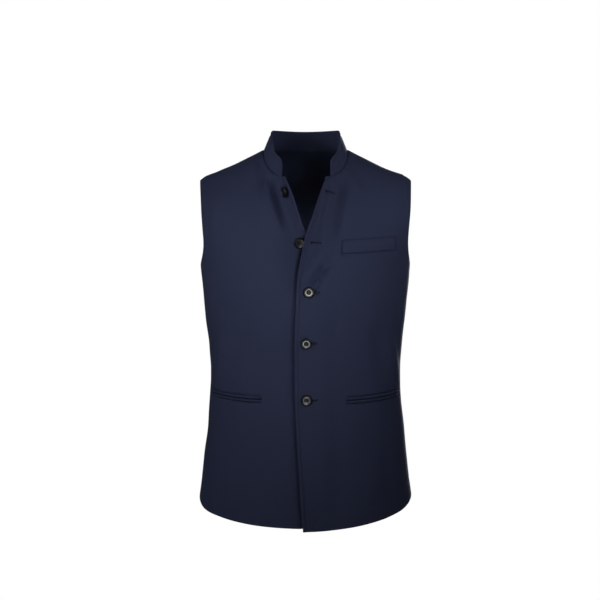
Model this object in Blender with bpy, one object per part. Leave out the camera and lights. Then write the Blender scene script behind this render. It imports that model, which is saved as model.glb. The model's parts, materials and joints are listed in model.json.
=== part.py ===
"""A sleeveless Nehru jacket in the hollow shape that it keeps when worn, cut and sewn from panels.

Sizes are in millimetres and the meshes are written in metres. +X is the wearer's left, -Y is the
front and +Z is up. The origin is the middle of the neck, 3 mm above the two neck points, where
the shoulder seams meet the collar.

A place on the body is a turn round it and a height: the turn is 0 at the centre front, a quarter
circle at the side and a half circle at the centre back. "Across" is a distance out from the
centre plane, on the panel's own side.
"""

import math
from collections import namedtuple

import bmesh
import bpy
import numpy as np
from mathutils import Matrix, Vector

METRE = 0.001

# ---- the cut: driving sizes --------------------------------------------------------------
NECK_HALF = 81.0
SHOULDER_FROM = 75.0
SHOULDER_HALF = 203.0
SHOULDER_SLOPE = 0.56
SHOULDER_EASE = 0.00085
UNDERARM = -226.0
SIDE_HEM = -669.0
BACK_DIP = 6.0
TIP_ROUND = 16.0
TIP_DROP = 5.0

CLOTH = 2.4
COLLAR_CLOTH = 3.0
SEAM_GAP = 0.3
COLLAR_BACK = 41.0
COLLAR_FRONT = 35.0
COLLAR_CORNER = 9.0
COLLAR_SETTLE = 60.0
COLLAR_LEAN = 0.41
COLLAR_END_LEAN = 0.03
COLLAR_END_HEIGHT = -50.0

BUTTON_STAND = 22.5
ROLL_SHARE = 0.06
ROLL_START = 0.5
ROLL_REACH = 8.0
ROLL_LENGTH = 6.0
OVERLAP_LIFT = 3.4
OVERLAP_OUT = 62.0
OVERLAP_FADE = 36.0
OVERLAP_TOP = -105.0
OVERLAP_GROWTH = 45.0
HEM_SWING = 7.0
SWING_OUT = 34.0
SWING_FADE = 54.0
SWING_TOP = -520.0
SWING_GROWTH = 200.0

SIDE_SEAM = math.radians(96)
ARMHOLE_FRONT = math.radians(29)
ARMHOLE_BACK = math.radians(27)
ARMHOLE_CURVE = 0.36

# ---- the body form -----------------------------------------------------------------------
FULLNESS = 2.3
FRONT_ROUND_NECK = 180.0
FRONT_ROUND_TIP = 120.0
BACK_ROUND = 110.0
FRONT_ROUND_POWER = 1.7
BACK_ROUND_POWER = 2.0

Section = namedtuple("Section", "height half_width front back")
BODY = [
    Section(-760, 212.0, 128, 119),
    Section(-690, 207.0, 125, 116),
    Section(-620, 198.5, 121, 110),
    Section(-550, 190.5, 117, 99),
    Section(-485, 185.0, 114, 90),
    Section(-440, 183.0, 113, 87),
    Section(-385, 185.0, 116, 90),
    Section(-330, 191.5, 122, 98),
    Section(-272, 197.5, 127, 106),
    Section(-222, 202.0, 125, 111),
    Section(-160, 209.0, 117, 109),
    Section(-100, 214.0, 107, 102),
    Section(-50, 215.0, 99, 96),
    Section(20, 215.0, 92, 92),
]

# Where the centre line and the front edge of each front lie. Where the top buttons are undone,
# the two are closer than the button stand is wide, because it turns towards the front there.
Front = namedtuple("Front", "height across edge")
LEFT_FRONT = [
    Front(-760, 20.5, -2.0),
    Front(-727, 17.9, -4.6),
    Front(-641, 11.7, -10.8),
    Front(-545, 5.4, -17.1),
    Front(-474, 2.1, -20.4),
    Front(-333, 2.1, -20.4),
    Front(-300, 3.4, -19.1),
    Front(-256, 5.6, -16.6),
    Front(-223, 7.0, -12.3),
    Front(-194, 8.0, -6.0),
    Front(-162, 12.0, 0.8),
    Front(-119, 26.0, 15.9),
    Front(-75, 40.0, 31.3),
    Front(-50, 49.5, 40.8),
]
RIGHT_FRONT = [
    Front(-760, -3.0, -25.5),
    Front(-545, -2.6, -25.1),
    Front(-333, -2.1, -24.6),
    Front(-265, -5.6, -28.1),
    Front(-223, 1.0, -21.5),
    Front(-194, 8.0, -14.5),
    Front(-172, 13.6, -8.6),
    Front(-160, 16.6, -3.5),
    Front(-147, 20.0, 3.5),
    Front(-119, 26.5, 14.4),
    Front(-75, 38.2, 30.0),
    Front(-50, 47.5, 42.0),
]
Neck = namedtuple("Neck", "height across")
NECKLINE = [
    Neck(-50, 48.5),
    Neck(-46, 56.5),
    Neck(-40, 65.0),
    Neck(-33, 72.0),
    Neck(-24, 77.5),
    Neck(-13, 80.3),
    Neck(-3.3, 81.0),
]
BACK_NECK_DROP = 4.0

# Soft folds: each runs from one place to another and lifts the cloth, or sinks it, by its rise.
FOLD_FADE = 0.35
Fold = namedtuple("Fold", "across height to_across to_height half_width rise")
LEFT_FOLDS = [
    Fold(72, -34, 42, -186, 22, -5.0),
    Fold(56, -40, 26, -206, 13, 3.0),
    Fold(80, -16, 125, -80, 17, -4.0),
    Fold(10, -262, 38, -214, 15, -3.0),
    Fold(4, -232, 46, -176, 20, 3.0),
    Fold(152, -332, 172, -456, 20, 3.0),
    Fold(176, -492, 186, -760, 20, 2.5),
]
RIGHT_FOLDS = [
    Fold(66, -34, 26, -164, 20, -5.5),
    Fold(86, -12, 80, -98, 13, -4.0),
    Fold(96, -50, 60, -190, 26, 3.0),
    Fold(-10, -262, -38, -214, 15, -3.0),
    Fold(148, -332, 172, -456, 20, 3.0),
    Fold(178, -520, 187, -760, 20, 2.5),
]

# The hem falls from the side to the centre front; a higher power keeps it high for longer.
Hem = namedtuple("Hem", "dip power")
LEFT_HEM = Hem(55.0, 1.35)
RIGHT_HEM = Hem(50.0, 1.0)

# ---- trims -------------------------------------------------------------------------------
BUTTON_HEIGHTS = [-78, -173.5, -267.5, -365, -474]
FIRST_FASTENED = 2
UNDONE_PAST = 1.5
UNDONE_TILT = 4.0
UNDONE_GAP = 0.8
BUTTON_THICK = 4.0
BUTTON_SIDES = 20
SHANK_RADIUS = 1.5
SHANK_LENGTH = 4.4
THREAD_HOLE_RADIUS = 0.9
THREAD_HOLE_OUT = 2.1
THREAD_HOLE_DEEP = 2.2
THREAD_HOLE_SIDES = 6
# From the middle of the face out to the rim and round to the shank: radius and height.
BUTTON_PROFILE = [
    (0.0, 2.9),
    (5.8, 3.0),
    (7.6, 3.9),
    (9.3, 4.0),
    (10.7, 3.2),
    (11.0, 2.0),
    (9.6, 0.6),
    (6.4, 0.0),
]
EYELET_RADIUS = 2.3
EYELET_SIDES = 12
HOLE_LENGTH = 20.0
HOLE_WIDTH = 1.2
HOLE_CUT_DEPTH = 9.0

Pocket = namedtuple("Pocket", "across height to_across to_height tall")
CHEST_WELT = Pocket(70, -183, 169.5, -178, 22.5)
JET_TALL = 5.0
JET_SLIT = 1.2
LEFT_POCKET = Pocket(77, -476, 176.5, -467, JET_TALL)
RIGHT_POCKET = Pocket(84, -473, 179, -467, JET_TALL)
TRIM_CLOTH = 1.6
TRIM_GAP = 0.5

# ---- how finely the walls are divided ----------------------------------------------------
LOWER_ROWS = 18
ARMHOLE_ROWS = 5
CHEST_ROWS = 5
SHOULDER_ROWS = 6
FRONT_COLUMNS = 20
STAND_STEPS = [3.0, 6.5, 13.5, BUTTON_STAND]
BACK_SHOULDER_COLUMNS = 9
BACK_NECK_COLUMNS = 5
COLLAR_ROWS = 3
COLLAR_END_STEPS = [0.0, 0.12, 0.35, 0.65]


def along(rows, column, at):
    """A table's column at a place between its rows, on a smooth curve through them."""
    keys = np.array([row[0] for row in rows], float)
    values = np.array([getattr(row, column) for row in rows], float)
    slopes = np.gradient(values, keys)
    at = min(max(at, keys[0]), keys[-1])
    i = min(int(np.searchsorted(keys, at, "right")) - 1, len(keys) - 2)
    span = keys[i + 1] - keys[i]
    s = (at - keys[i]) / span
    start = (1 + 2 * s) * (1 - s) ** 2 * values[i] + s * (1 - s) ** 2 * span * slopes[i]
    end = s * s * (3 - 2 * s) * values[i + 1] - s * s * (1 - s) * span * slopes[i + 1]
    return start + end


def ease(share):
    """0 below 0, 1 above 1, and a smooth step between."""
    share = min(max(share, 0.0), 1.0)
    return share * share * (3 - 2 * share)


# ---- the body form: every panel is cut from this surface ---------------------------------
def shoulder_line(across):
    """The height of the shoulder seam, outside the neck point and a little inside it."""
    out = across - SHOULDER_FROM
    tip = max(0.0, across - SHOULDER_HALF + TIP_ROUND) / TIP_ROUND
    return -SHOULDER_SLOPE * out + SHOULDER_EASE * out**2 - TIP_DROP * tip**2


def ridge(across):
    """The height of the shoulder line; inside the neck point it goes on as a low crown."""
    across = abs(across)
    if across < NECK_HALF:
        crown = SHOULDER_SLOPE * NECK_HALF / 2 * (1 - (across / NECK_HALF) ** 2)
        return shoulder_line(NECK_HALF) + crown
    return shoulder_line(across)


def turn_at(across, height):
    """The turn of the place on the front that lies that far across."""
    share = across / along(BODY, "half_width", height)
    share = min(max(share, -0.999), 0.999)
    return math.atan2(share, (1 - abs(share) ** FULLNESS) ** (1 / FULLNESS))


def across_at(turn, height):
    swell = (abs(math.sin(turn)) ** FULLNESS + abs(math.cos(turn)) ** FULLNESS) ** (-1 / FULLNESS)
    return along(BODY, "half_width", height) * swell * math.sin(turn)


def body_point(turn, height):
    """The outer face of the cloth: rounded sections that close over the shoulder line."""
    across = across_at(turn, height)
    swell = (abs(math.sin(turn)) ** FULLNESS + abs(math.cos(turn)) ** FULLNESS) ** (-1 / FULLNESS)
    is_front = math.cos(turn) > 0
    depth = along(BODY, "front" if is_front else "back", height)
    tip_share = min(abs(across) / SHOULDER_HALF, 1.0)
    reach = BACK_ROUND
    power = BACK_ROUND_POWER
    if is_front:
        reach = FRONT_ROUND_NECK + (FRONT_ROUND_TIP - FRONT_ROUND_NECK) * tip_share
        power = FRONT_ROUND_POWER
    drop = min(max(ridge(across) - height, 0.0) / reach, 1.0)
    closing = (1 - (1 - drop) ** 2) ** (1 / power)
    half_gap = SEAM_GAP / 2 if height > UNDERARM else 0.0
    forward = depth * swell * math.cos(turn) * closing
    forward += half_gap if is_front else -half_gap
    return np.array([across, -forward, height])


def outward_at(turn, height):
    """The direction out of the body, from places just beside and above this one."""
    step = 0.004
    rise = 1.5
    sideways = body_point(turn + step, height) - body_point(turn - step, height)
    upward = body_point(turn, height + rise) - body_point(turn, height - rise)
    normal = np.cross(sideways, upward)
    return normal / np.linalg.norm(normal)


# ---- the fronts: the body form with its folds, its overlap and its turned edge ------------
def fold_rise(folds, across, height):
    """How far the folds lift the cloth here."""
    rise = 0.0
    for fold in folds:
        start = np.array([fold.across, fold.height], float)
        run = np.array([fold.to_across, fold.to_height], float) - start
        place = np.array([across, height]) - start
        share = float(place @ run) / float(run @ run)
        if not 0 < share < 1:
            continue
        away = abs(float(place[0] * run[1] - place[1] * run[0])) / np.linalg.norm(run)
        if away < fold.half_width:
            ends = ease(share / FOLD_FADE) * ease((1 - share) / FOLD_FADE)
            rise += fold.rise * ends * (1 - (away / fold.half_width) ** 2) ** 2
    return rise


class FrontPanel:
    """One front, in its own coordinates: across grows outwards from the centre plane."""

    def __init__(self, side, line, folds, hem_line, lifted):
        self.side = side
        self.line = line
        self.folds = folds
        self.hem_line = hem_line
        self.lifted = lifted

    def hem(self, turn):
        """The height of the hem: lowest at the centre front, highest at the side."""
        return SIDE_HEM - self.hem_line.dip * max(math.cos(turn), 0.0) ** self.hem_line.power

    def lift(self, across, height):
        """How far the upper front stands off where it lies over the other one."""
        if not self.lifted:
            return 0.0
        overlap = ease((OVERLAP_OUT - across) / OVERLAP_FADE)
        overlap *= ease((OVERLAP_TOP - height) / OVERLAP_GROWTH)
        swing = ease((SWING_OUT - across) / SWING_FADE)
        swing *= ease((SWING_TOP - height) / SWING_GROWTH)
        return OVERLAP_LIFT * overlap + HEM_SWING * swing

    def point(self, turn, height):
        """A place on the outer face, in the panel's own coordinates."""
        place = body_point(turn, height)
        out = outward_at(turn, height)
        rise = fold_rise(self.folds, place[0], height)
        place = place + out * rise
        place[1] -= self.lift(place[0], height) + self.roll(place[0], height)
        return place

    def roll(self, across, height):
        """How far the cloth comes forward just outside the centre line, as the stand turns."""
        outside = max(across - along(self.line, "across", height), 0.0)
        slope = math.tan(ROLL_START * self.stand_turn(height))
        return slope * ROLL_REACH * math.exp(-outside / ROLL_REACH)

    def stand_turn(self, height):
        """The angle by which the button stand turns towards the front."""
        seen = along(self.line, "across", height) - along(self.line, "edge", height)
        share = (seen / BUTTON_STAND - ROLL_SHARE) / (1 - ROLL_SHARE)
        return math.acos(min(max(share, 0.0), 1.0))

    def stand_point(self, past, height):
        """A place on the button stand, that far past the centre line."""
        turned = self.stand_turn(height)
        across = along(self.line, "across", height)
        forward = 0.0
        steps = max(1, math.ceil(past))
        for i in range(steps):
            middle = (i + 0.5) * past / steps
            angle = turned * (ROLL_START + (1 - ROLL_START) * ease(middle / ROLL_LENGTH))
            across -= math.cos(angle) * past / steps
            forward += math.sin(angle) * past / steps
        place = self.point(turn_at(across, height), height)
        place[1] -= forward
        return place

    def stand_normal(self, past, height):
        """The direction out of the button stand."""
        step = 1.0
        sideways = self.stand_point(past - step, height) - self.stand_point(past + step, height)
        upward = self.stand_point(past, height + step) - self.stand_point(past, height - step)
        normal = np.cross(sideways, upward)
        return normal / np.linalg.norm(normal)

    def surface_at(self, across, height):
        return self.point(turn_at(across, height), height)

    def normal_at(self, across, height):
        """The direction out of the finished face at a place, folds and all."""
        step = 1.0
        sideways = self.surface_at(across + step, height) - self.surface_at(across - step, height)
        upward = self.surface_at(across, height + step) - self.surface_at(across, height - step)
        normal = np.cross(sideways, upward)
        return normal / np.linalg.norm(normal)

    def mirrored(self, points):
        return points * np.array([self.side, 1, 1])


def row_shares():
    """How far up each row lies: 0 to 1 from hem to underarm, and 0 to 1 from there to the top."""
    corner = (COLLAR_END_HEIGHT - UNDERARM) / (ridge(NECKLINE[0].across) - UNDERARM)
    lower = [i / LOWER_ROWS for i in range(LOWER_ROWS)]
    armhole = [
        ARMHOLE_CURVE * (1 - math.cos(math.pi / 2 * i / ARMHOLE_ROWS)) for i in range(ARMHOLE_ROWS)
    ]
    chest = [
        ARMHOLE_CURVE + (corner - ARMHOLE_CURVE) * i / CHEST_ROWS for i in range(CHEST_ROWS)
    ]
    shoulder = [
        1 - (1 - corner) * (1 - i / SHOULDER_ROWS) ** FRONT_ROUND_POWER
        for i in range(SHOULDER_ROWS + 1)
    ]
    return lower, armhole + chest + shoulder


def armhole_turn(share, sweep):
    """How far the armhole has come round from the side seam at this row."""
    if share >= ARMHOLE_CURVE:
        return sweep
    return sweep * math.sqrt(1 - (1 - share / ARMHOLE_CURVE) ** 2)


def height_of_row(turn, share, top):
    """The height of a place in an upper row, which tilts from level to the shoulder line."""
    height = UNDERARM * (1 - share)
    for _ in range(5):
        height = UNDERARM + (top(across_at(turn, height)) - UNDERARM) * share
    return height


def front_grid(panel):
    """The outer face of a front as rows of points, with the cells that exist."""
    lower, upper = row_shares()
    corner_row = len(lower) + ARMHOLE_ROWS + CHEST_ROWS
    columns = len(STAND_STEPS) + FRONT_COLUMNS + 1
    grid = np.zeros((len(lower) + len(upper), columns, 3))
    normals = np.zeros_like(grid)
    present = np.ones((len(grid) - 1, columns - 1), bool)
    present[corner_row:, : len(STAND_STEPS)] = False
    seam_turn = SIDE_SEAM - SEAM_GAP / 2 / along(BODY, "half_width", UNDERARM)
    for row in range(len(grid)):
        is_lower = row < len(lower)
        if is_lower:
            start = 0.0
            end = seam_turn
            share = lower[row]
            centre_height = panel.hem(0) + (UNDERARM - panel.hem(0)) * share
            start = turn_at(along(panel.line, "across", centre_height), centre_height)
        else:
            share = upper[row - len(lower)]
            end = seam_turn - armhole_turn(share, ARMHOLE_FRONT)
            table = panel.line if row <= corner_row else NECKLINE
            centre_height = UNDERARM * (1 - share)
            for _ in range(12):
                across = along(table, "across", centre_height)
                centre_height = UNDERARM + (ridge(across) - UNDERARM) * share
            start = turn_at(across, centre_height)
        for step in range(FRONT_COLUMNS + 1):
            turn = start + (end - start) * step / FRONT_COLUMNS
            if is_lower:
                height = panel.hem(turn) + (UNDERARM - panel.hem(turn)) * share
            else:
                height = height_of_row(turn, share, ridge)
            if row == len(grid) - 1:
                height = ridge(across_at(turn, height))
            column = len(STAND_STEPS) + step
            grid[row, column] = panel.point(turn, height)
            normals[row, column] = outward_at(turn, height)
        for step, past in enumerate(STAND_STEPS):
            column = len(STAND_STEPS) - 1 - step
            grid[row, column] = panel.stand_point(past, grid[row, len(STAND_STEPS), 2])
    return grid, seam_normals(grid, normals, present), present


def seam_normals(grid, analytic, present):
    """Normals from the cells round each point, but the body's own at side and shoulder seams."""
    normals = np.zeros_like(grid)
    for row, column in zip(*np.nonzero(present)):
        a, b = grid[row, column], grid[row, column + 1]
        c, d = grid[row + 1, column + 1], grid[row + 1, column]
        facing = np.cross(c - a, d - b)
        for r, k in ((row, column), (row, column + 1), (row + 1, column + 1), (row + 1, column)):
            normals[r, k] += facing
    side_rows = slice(0, LOWER_ROWS + 1)
    normals[side_rows, -1] = analytic[side_rows, -1]
    normals[-1] = analytic[-1]
    normals[-1, :, 1] = 0.0
    lengths = np.linalg.norm(normals, axis=2, keepdims=True)
    return normals / np.maximum(lengths, 1e-9)


def back_grid():
    """The outer face of the back, from the left side seam round to the right one."""
    lower, upper = row_shares()
    neck_columns = 2 * BACK_NECK_COLUMNS
    columns = 2 * BACK_SHOULDER_COLUMNS + neck_columns
    grid = np.zeros((len(lower) + len(upper), columns + 1, 3))
    normals = np.zeros_like(grid)
    seam_turn = SIDE_SEAM + SEAM_GAP / 2 / along(BODY, "half_width", UNDERARM)
    neck_turn = math.pi - turn_at(NECK_HALF, 0)
    for row in range(len(grid)):
        is_lower = row < len(lower)
        share = lower[row] if is_lower else upper[row - len(lower)]
        start = seam_turn
        if not is_lower:
            start += armhole_turn(share, ARMHOLE_BACK)
        for column in range(columns + 1):
            even = column / columns
            turn = start + (2 * math.pi - 2 * start) * even
            if not is_lower:
                if column <= BACK_SHOULDER_COLUMNS:
                    aim = start + (neck_turn - start) * column / BACK_SHOULDER_COLUMNS
                elif column >= columns - BACK_SHOULDER_COLUMNS:
                    left = (columns - column) / BACK_SHOULDER_COLUMNS
                    aim = 2 * math.pi - start - (neck_turn - start) * left
                else:
                    inner = (column - BACK_SHOULDER_COLUMNS) / neck_columns
                    aim = neck_turn + 2 * (math.pi - neck_turn) * inner
                turn += (aim - turn) * ease(share)
            if is_lower:
                hem = SIDE_HEM - BACK_DIP * max(-math.cos(turn), 0)
                height = hem + (UNDERARM - hem) * share
            else:
                height = height_of_row(turn, share, back_top)
            if row == len(grid) - 1:
                height = back_top(across_at(turn, height))
            grid[row, column] = body_point(turn, height)
            normals[row, column] = outward_at(turn, height)
    present = np.ones((len(grid) - 1, columns), bool)
    finished = seam_normals(grid, normals, present)
    side_rows = slice(0, len(lower) + 1)
    finished[side_rows, 0] = normals[side_rows, 0]
    neck = slice(BACK_SHOULDER_COLUMNS + 1, columns - BACK_SHOULDER_COLUMNS)
    finished[-1, neck] = normals[-1, neck]
    return grid, finished, present


def back_top(across):
    """The upper edge of the back: the shoulder line, and the neckline between the neck points."""
    if abs(across) >= NECK_HALF:
        return ridge(across)
    return shoulder_line(NECK_HALF) - BACK_NECK_DROP * (1 - (across / NECK_HALF) ** 2)


# ---- building meshes ---------------------------------------------------------------------
def material(name, colour, roughness):
    made = bpy.data.materials.new(name)
    made.use_nodes = True
    shader = made.node_tree.nodes["Principled BSDF"]
    shader.inputs["Base Color"].default_value = (*colour, 1)
    shader.inputs["Roughness"].default_value = roughness
    shader.inputs["Metallic"].default_value = 0.0
    return made


def add_object(name, points, faces, finish):
    """A mesh object from points in millimetres, with its faces turned outwards."""
    mesh = bpy.data.meshes.new(name)
    mesh.from_pydata([tuple(p * METRE) for p in points], [], faces)
    shape = bmesh.new()
    shape.from_mesh(mesh)
    bmesh.ops.recalc_face_normals(shape, faces=shape.faces)
    shape.to_mesh(mesh)
    shape.free()
    mesh.shade_smooth()
    mesh.set_sharp_from_angle(angle=math.radians(35))
    mesh.materials.append(finish)
    made = bpy.data.objects.new(name, mesh)
    bpy.context.scene.collection.objects.link(made)
    return made


def wall(name, outer, normals, present, thickness, finish):
    """A cloth wall: an outer face, an inner face one thickness behind it, and a rim."""
    rows, columns = outer.shape[:2]
    used = {}
    points = []
    for row in range(rows):
        for column in range(columns):
            cells = present[max(row - 1, 0) : row + 1, max(column - 1, 0) : column + 1]
            if cells.any():
                used[row, column] = len(points)
                points.append(outer[row, column])
    count = len(points)
    for row, column in used:
        points.append(outer[row, column] - normals[row, column] * thickness)
    faces = []
    borders = {}
    for row, column in zip(*np.nonzero(present)):
        ring = [
            used[row, column],
            used[row, column + 1],
            used[row + 1, column + 1],
            used[row + 1, column],
        ]
        faces.append(ring)
        faces.append([i + count for i in reversed(ring)])
        for a, b in zip(ring, ring[1:] + ring[:1]):
            if (b, a) in borders:
                del borders[b, a]
            else:
                borders[a, b] = True
    faces.extend([b, a, a + count, b + count] for a, b in borders)
    return add_object(name, points, faces, finish)


def patch_shares(panel, pocket):
    """How far along a strip each column lies: its ends, and where it crosses the wall's columns."""
    start = turn_at(along(panel.line, "across", pocket.height), pocket.height)
    first = turn_at(pocket.across, pocket.height)
    last = turn_at(pocket.to_across, pocket.height)
    shares = [0.0]
    for column in range(FRONT_COLUMNS):
        turn = start + (SIDE_SEAM - start) * column / FRONT_COLUMNS
        crossing = across_at(turn, pocket.height)
        share = (crossing - pocket.across) / (pocket.to_across - pocket.across)
        if first < turn < last and 0.02 < share < 0.98:
            shares.append(share)
    return shares + [1.0]


def patch(name, panel, pocket, raised, finish, rows=2):
    """A strip sewn on a front: made from the front's own points, moved out."""
    shares = patch_shares(panel, pocket)
    columns = len(shares) - 1
    outer = np.zeros((rows + 1, columns + 1, 3))
    normals = np.zeros_like(outer)
    for row in range(rows + 1):
        for column, share in enumerate(shares):
            across = pocket.across + (pocket.to_across - pocket.across) * share
            height = pocket.height + (pocket.to_height - pocket.height) * share
            height += pocket.tall * (row / rows - 0.5)
            out = panel.normal_at(across, height)
            outer[row, column] = panel.surface_at(across, height) + out * raised
            normals[row, column] = out
    present = np.ones((rows, columns), bool)
    return wall(
        name,
        panel.mirrored(outer),
        panel.mirrored(normals),
        present,
        raised - TRIM_GAP,
        finish,
    )


# ---- the collar --------------------------------------------------------------------------
def collar_path(left, right, back):
    """The points of the whole neckline, from the right front's end round the back to the left's."""
    corner_row = LOWER_ROWS + ARMHOLE_ROWS + CHEST_ROWS
    neck_column = len(STAND_STEPS)
    left_front = left[corner_row:, neck_column]
    right_front = right[corner_row:, neck_column] * np.array([-1, 1, 1])
    neck = back[-1, BACK_SHOULDER_COLUMNS : -BACK_SHOULDER_COLUMNS]
    first = [right_front[0] + (right_front[1] - right_front[0]) * s for s in COLLAR_END_STEPS]
    last = [left_front[0] + (left_front[1] - left_front[0]) * s for s in COLLAR_END_STEPS[::-1]]
    path = first + list(right_front[1:]) + list(neck[::-1][1:-1]) + list(left_front[:0:-1]) + last
    return np.array(path)


def collar_grid(path):
    """The collar's outer face: it rises from the neckline and leans in towards the neck."""
    lengths = np.concatenate([[0], np.cumsum(np.linalg.norm(np.diff(path, axis=0), axis=1))])
    grid = np.zeros((COLLAR_ROWS + 1, len(path), 3))
    for i, base in enumerate(path):
        from_end = min(lengths[i], lengths[-1] - lengths[i])
        settled = ease(from_end / COLLAR_SETTLE)
        tall = COLLAR_FRONT + (COLLAR_BACK - COLLAR_FRONT) * settled
        cut = max(0.0, COLLAR_CORNER - from_end)
        tall -= COLLAR_CORNER - math.sqrt(COLLAR_CORNER**2 - cut**2)
        inward = np.array([-base[0], -base[1], 0.0])
        inward /= np.linalg.norm(inward)
        lean = COLLAR_END_LEAN + (COLLAR_LEAN - COLLAR_END_LEAN) * settled
        rise = inward * lean + np.array([0, 0, 1.0])
        rise /= np.linalg.norm(rise)
        for row in range(COLLAR_ROWS + 1):
            grid[row, i] = base + rise * (SEAM_GAP + tall * row / COLLAR_ROWS)
    normals = np.zeros_like(grid)
    sideways = np.gradient(grid, axis=1)
    upward = np.gradient(grid, axis=0)
    normals = np.cross(upward, sideways)
    normals /= np.linalg.norm(normals, axis=2, keepdims=True)
    return grid, normals


# ---- buttons and buttonholes -------------------------------------------------------------
def hidden_cutter(cutter):
    cutter.hide_render = True
    cutter.display_type = "WIRE"
    return cutter


def cut(target, cutter):
    step = target.modifiers.new("cut " + cutter.name, "BOOLEAN")
    step.operation = "DIFFERENCE"
    step.solver = "EXACT"
    step.object = cutter


def standing(place, out):
    """The matrix that puts a shape's own +Z along a direction, at a place in millimetres."""
    out = Vector(out).normalized()
    side = Vector((1, 0, 0)) - out * out.x
    side.normalize()
    turned = Matrix((side, out.cross(side), out)).transposed().to_4x4()
    return Matrix.Translation(Vector(place) * METRE) @ turned


def turned_shape(name, profile, sides, finish):
    """A closed turned solid; the profile runs from the top of its axis to the foot of it."""
    points = [np.array([0, 0, profile[0][1]])]
    for radius, height in profile[1:]:
        for i in range(sides):
            angle = 2 * math.pi * i / sides
            points.append(np.array([radius * math.cos(angle), radius * math.sin(angle), height]))
    foot = len(points)
    points.append(np.array([0, 0, profile[-1][1]]))
    faces = []
    for i in range(sides):
        j = (i + 1) % sides
        faces.append([0, 1 + i, 1 + j])
        for ring in range(len(profile) - 2):
            low = 1 + ring * sides
            faces.append([low + i, low + sides + i, low + sides + j, low + j])
        last = 1 + (len(profile) - 2) * sides
        faces.append([last + i, foot, last + j])
    return add_object(name, points, faces, finish)


def thread_hole_cutter():
    """Four small wells for the sewing thread, as one shape of four separate pins."""
    shape = bmesh.new()
    for x in (-1, 1):
        for y in (-1, 1):
            middle = Vector((x, y, 0)) * THREAD_HOLE_OUT / math.sqrt(2) * METRE
            middle.z = BUTTON_THICK * METRE
            bmesh.ops.create_cone(
                shape,
                cap_ends=True,
                segments=THREAD_HOLE_SIDES,
                radius1=THREAD_HOLE_RADIUS * METRE,
                radius2=THREAD_HOLE_RADIUS * METRE,
                depth=2 * THREAD_HOLE_DEEP * METRE,
                matrix=Matrix.Translation(middle),
            )
    mesh = bpy.data.meshes.new("thread_holes")
    shape.to_mesh(mesh)
    shape.free()
    cutter = bpy.data.objects.new("thread_holes", mesh)
    bpy.context.scene.collection.objects.link(cutter)
    return hidden_cutter(cutter)


def button(number, place, out, gap, finish):
    """A turned button on a thread shank, with four thread holes."""
    lifted = [(radius, height + SHANK_LENGTH) for radius, height in BUTTON_PROFILE]
    shank = [(SHANK_RADIUS, SHANK_LENGTH), (SHANK_RADIUS, gap)]
    made = turned_shape(f"button_{number}", lifted + shank, BUTTON_SIDES, finish)
    made.matrix_world = standing(place, out)
    holes = thread_hole_cutter()
    holes.name = f"thread_holes_{number}"
    holes.matrix_world = made.matrix_world @ Matrix.Translation((0, 0, SHANK_LENGTH * METRE))
    cut(made, holes)
    return made


def buttonhole_cutter(number, place, out):
    """A tailor's keyhole: a round eye nearest the edge with a slit that runs away from it."""
    half = HOLE_WIDTH / 2
    opening = math.asin(half / EYELET_RADIUS)
    outline = [(HOLE_LENGTH, -half), (HOLE_LENGTH, half)]
    for i in range(EYELET_SIDES + 1):
        angle = opening + (2 * math.pi - 2 * opening) * i / EYELET_SIDES
        outline.append((EYELET_RADIUS * math.cos(angle), EYELET_RADIUS * math.sin(angle)))
    count = len(outline)
    ends = (-HOLE_CUT_DEPTH, HOLE_CUT_DEPTH)
    points = [np.array([x, y, z]) for z in ends for x, y in outline]
    faces = [list(range(count)), list(range(2 * count - 1, count - 1, -1))]
    faces += [[i, (i + 1) % count, count + (i + 1) % count, count + i] for i in range(count)]
    cutter = add_object(f"buttonhole_{number}", points, faces, None)
    cutter.matrix_world = standing(place, out)
    return hidden_cutter(cutter)


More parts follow.
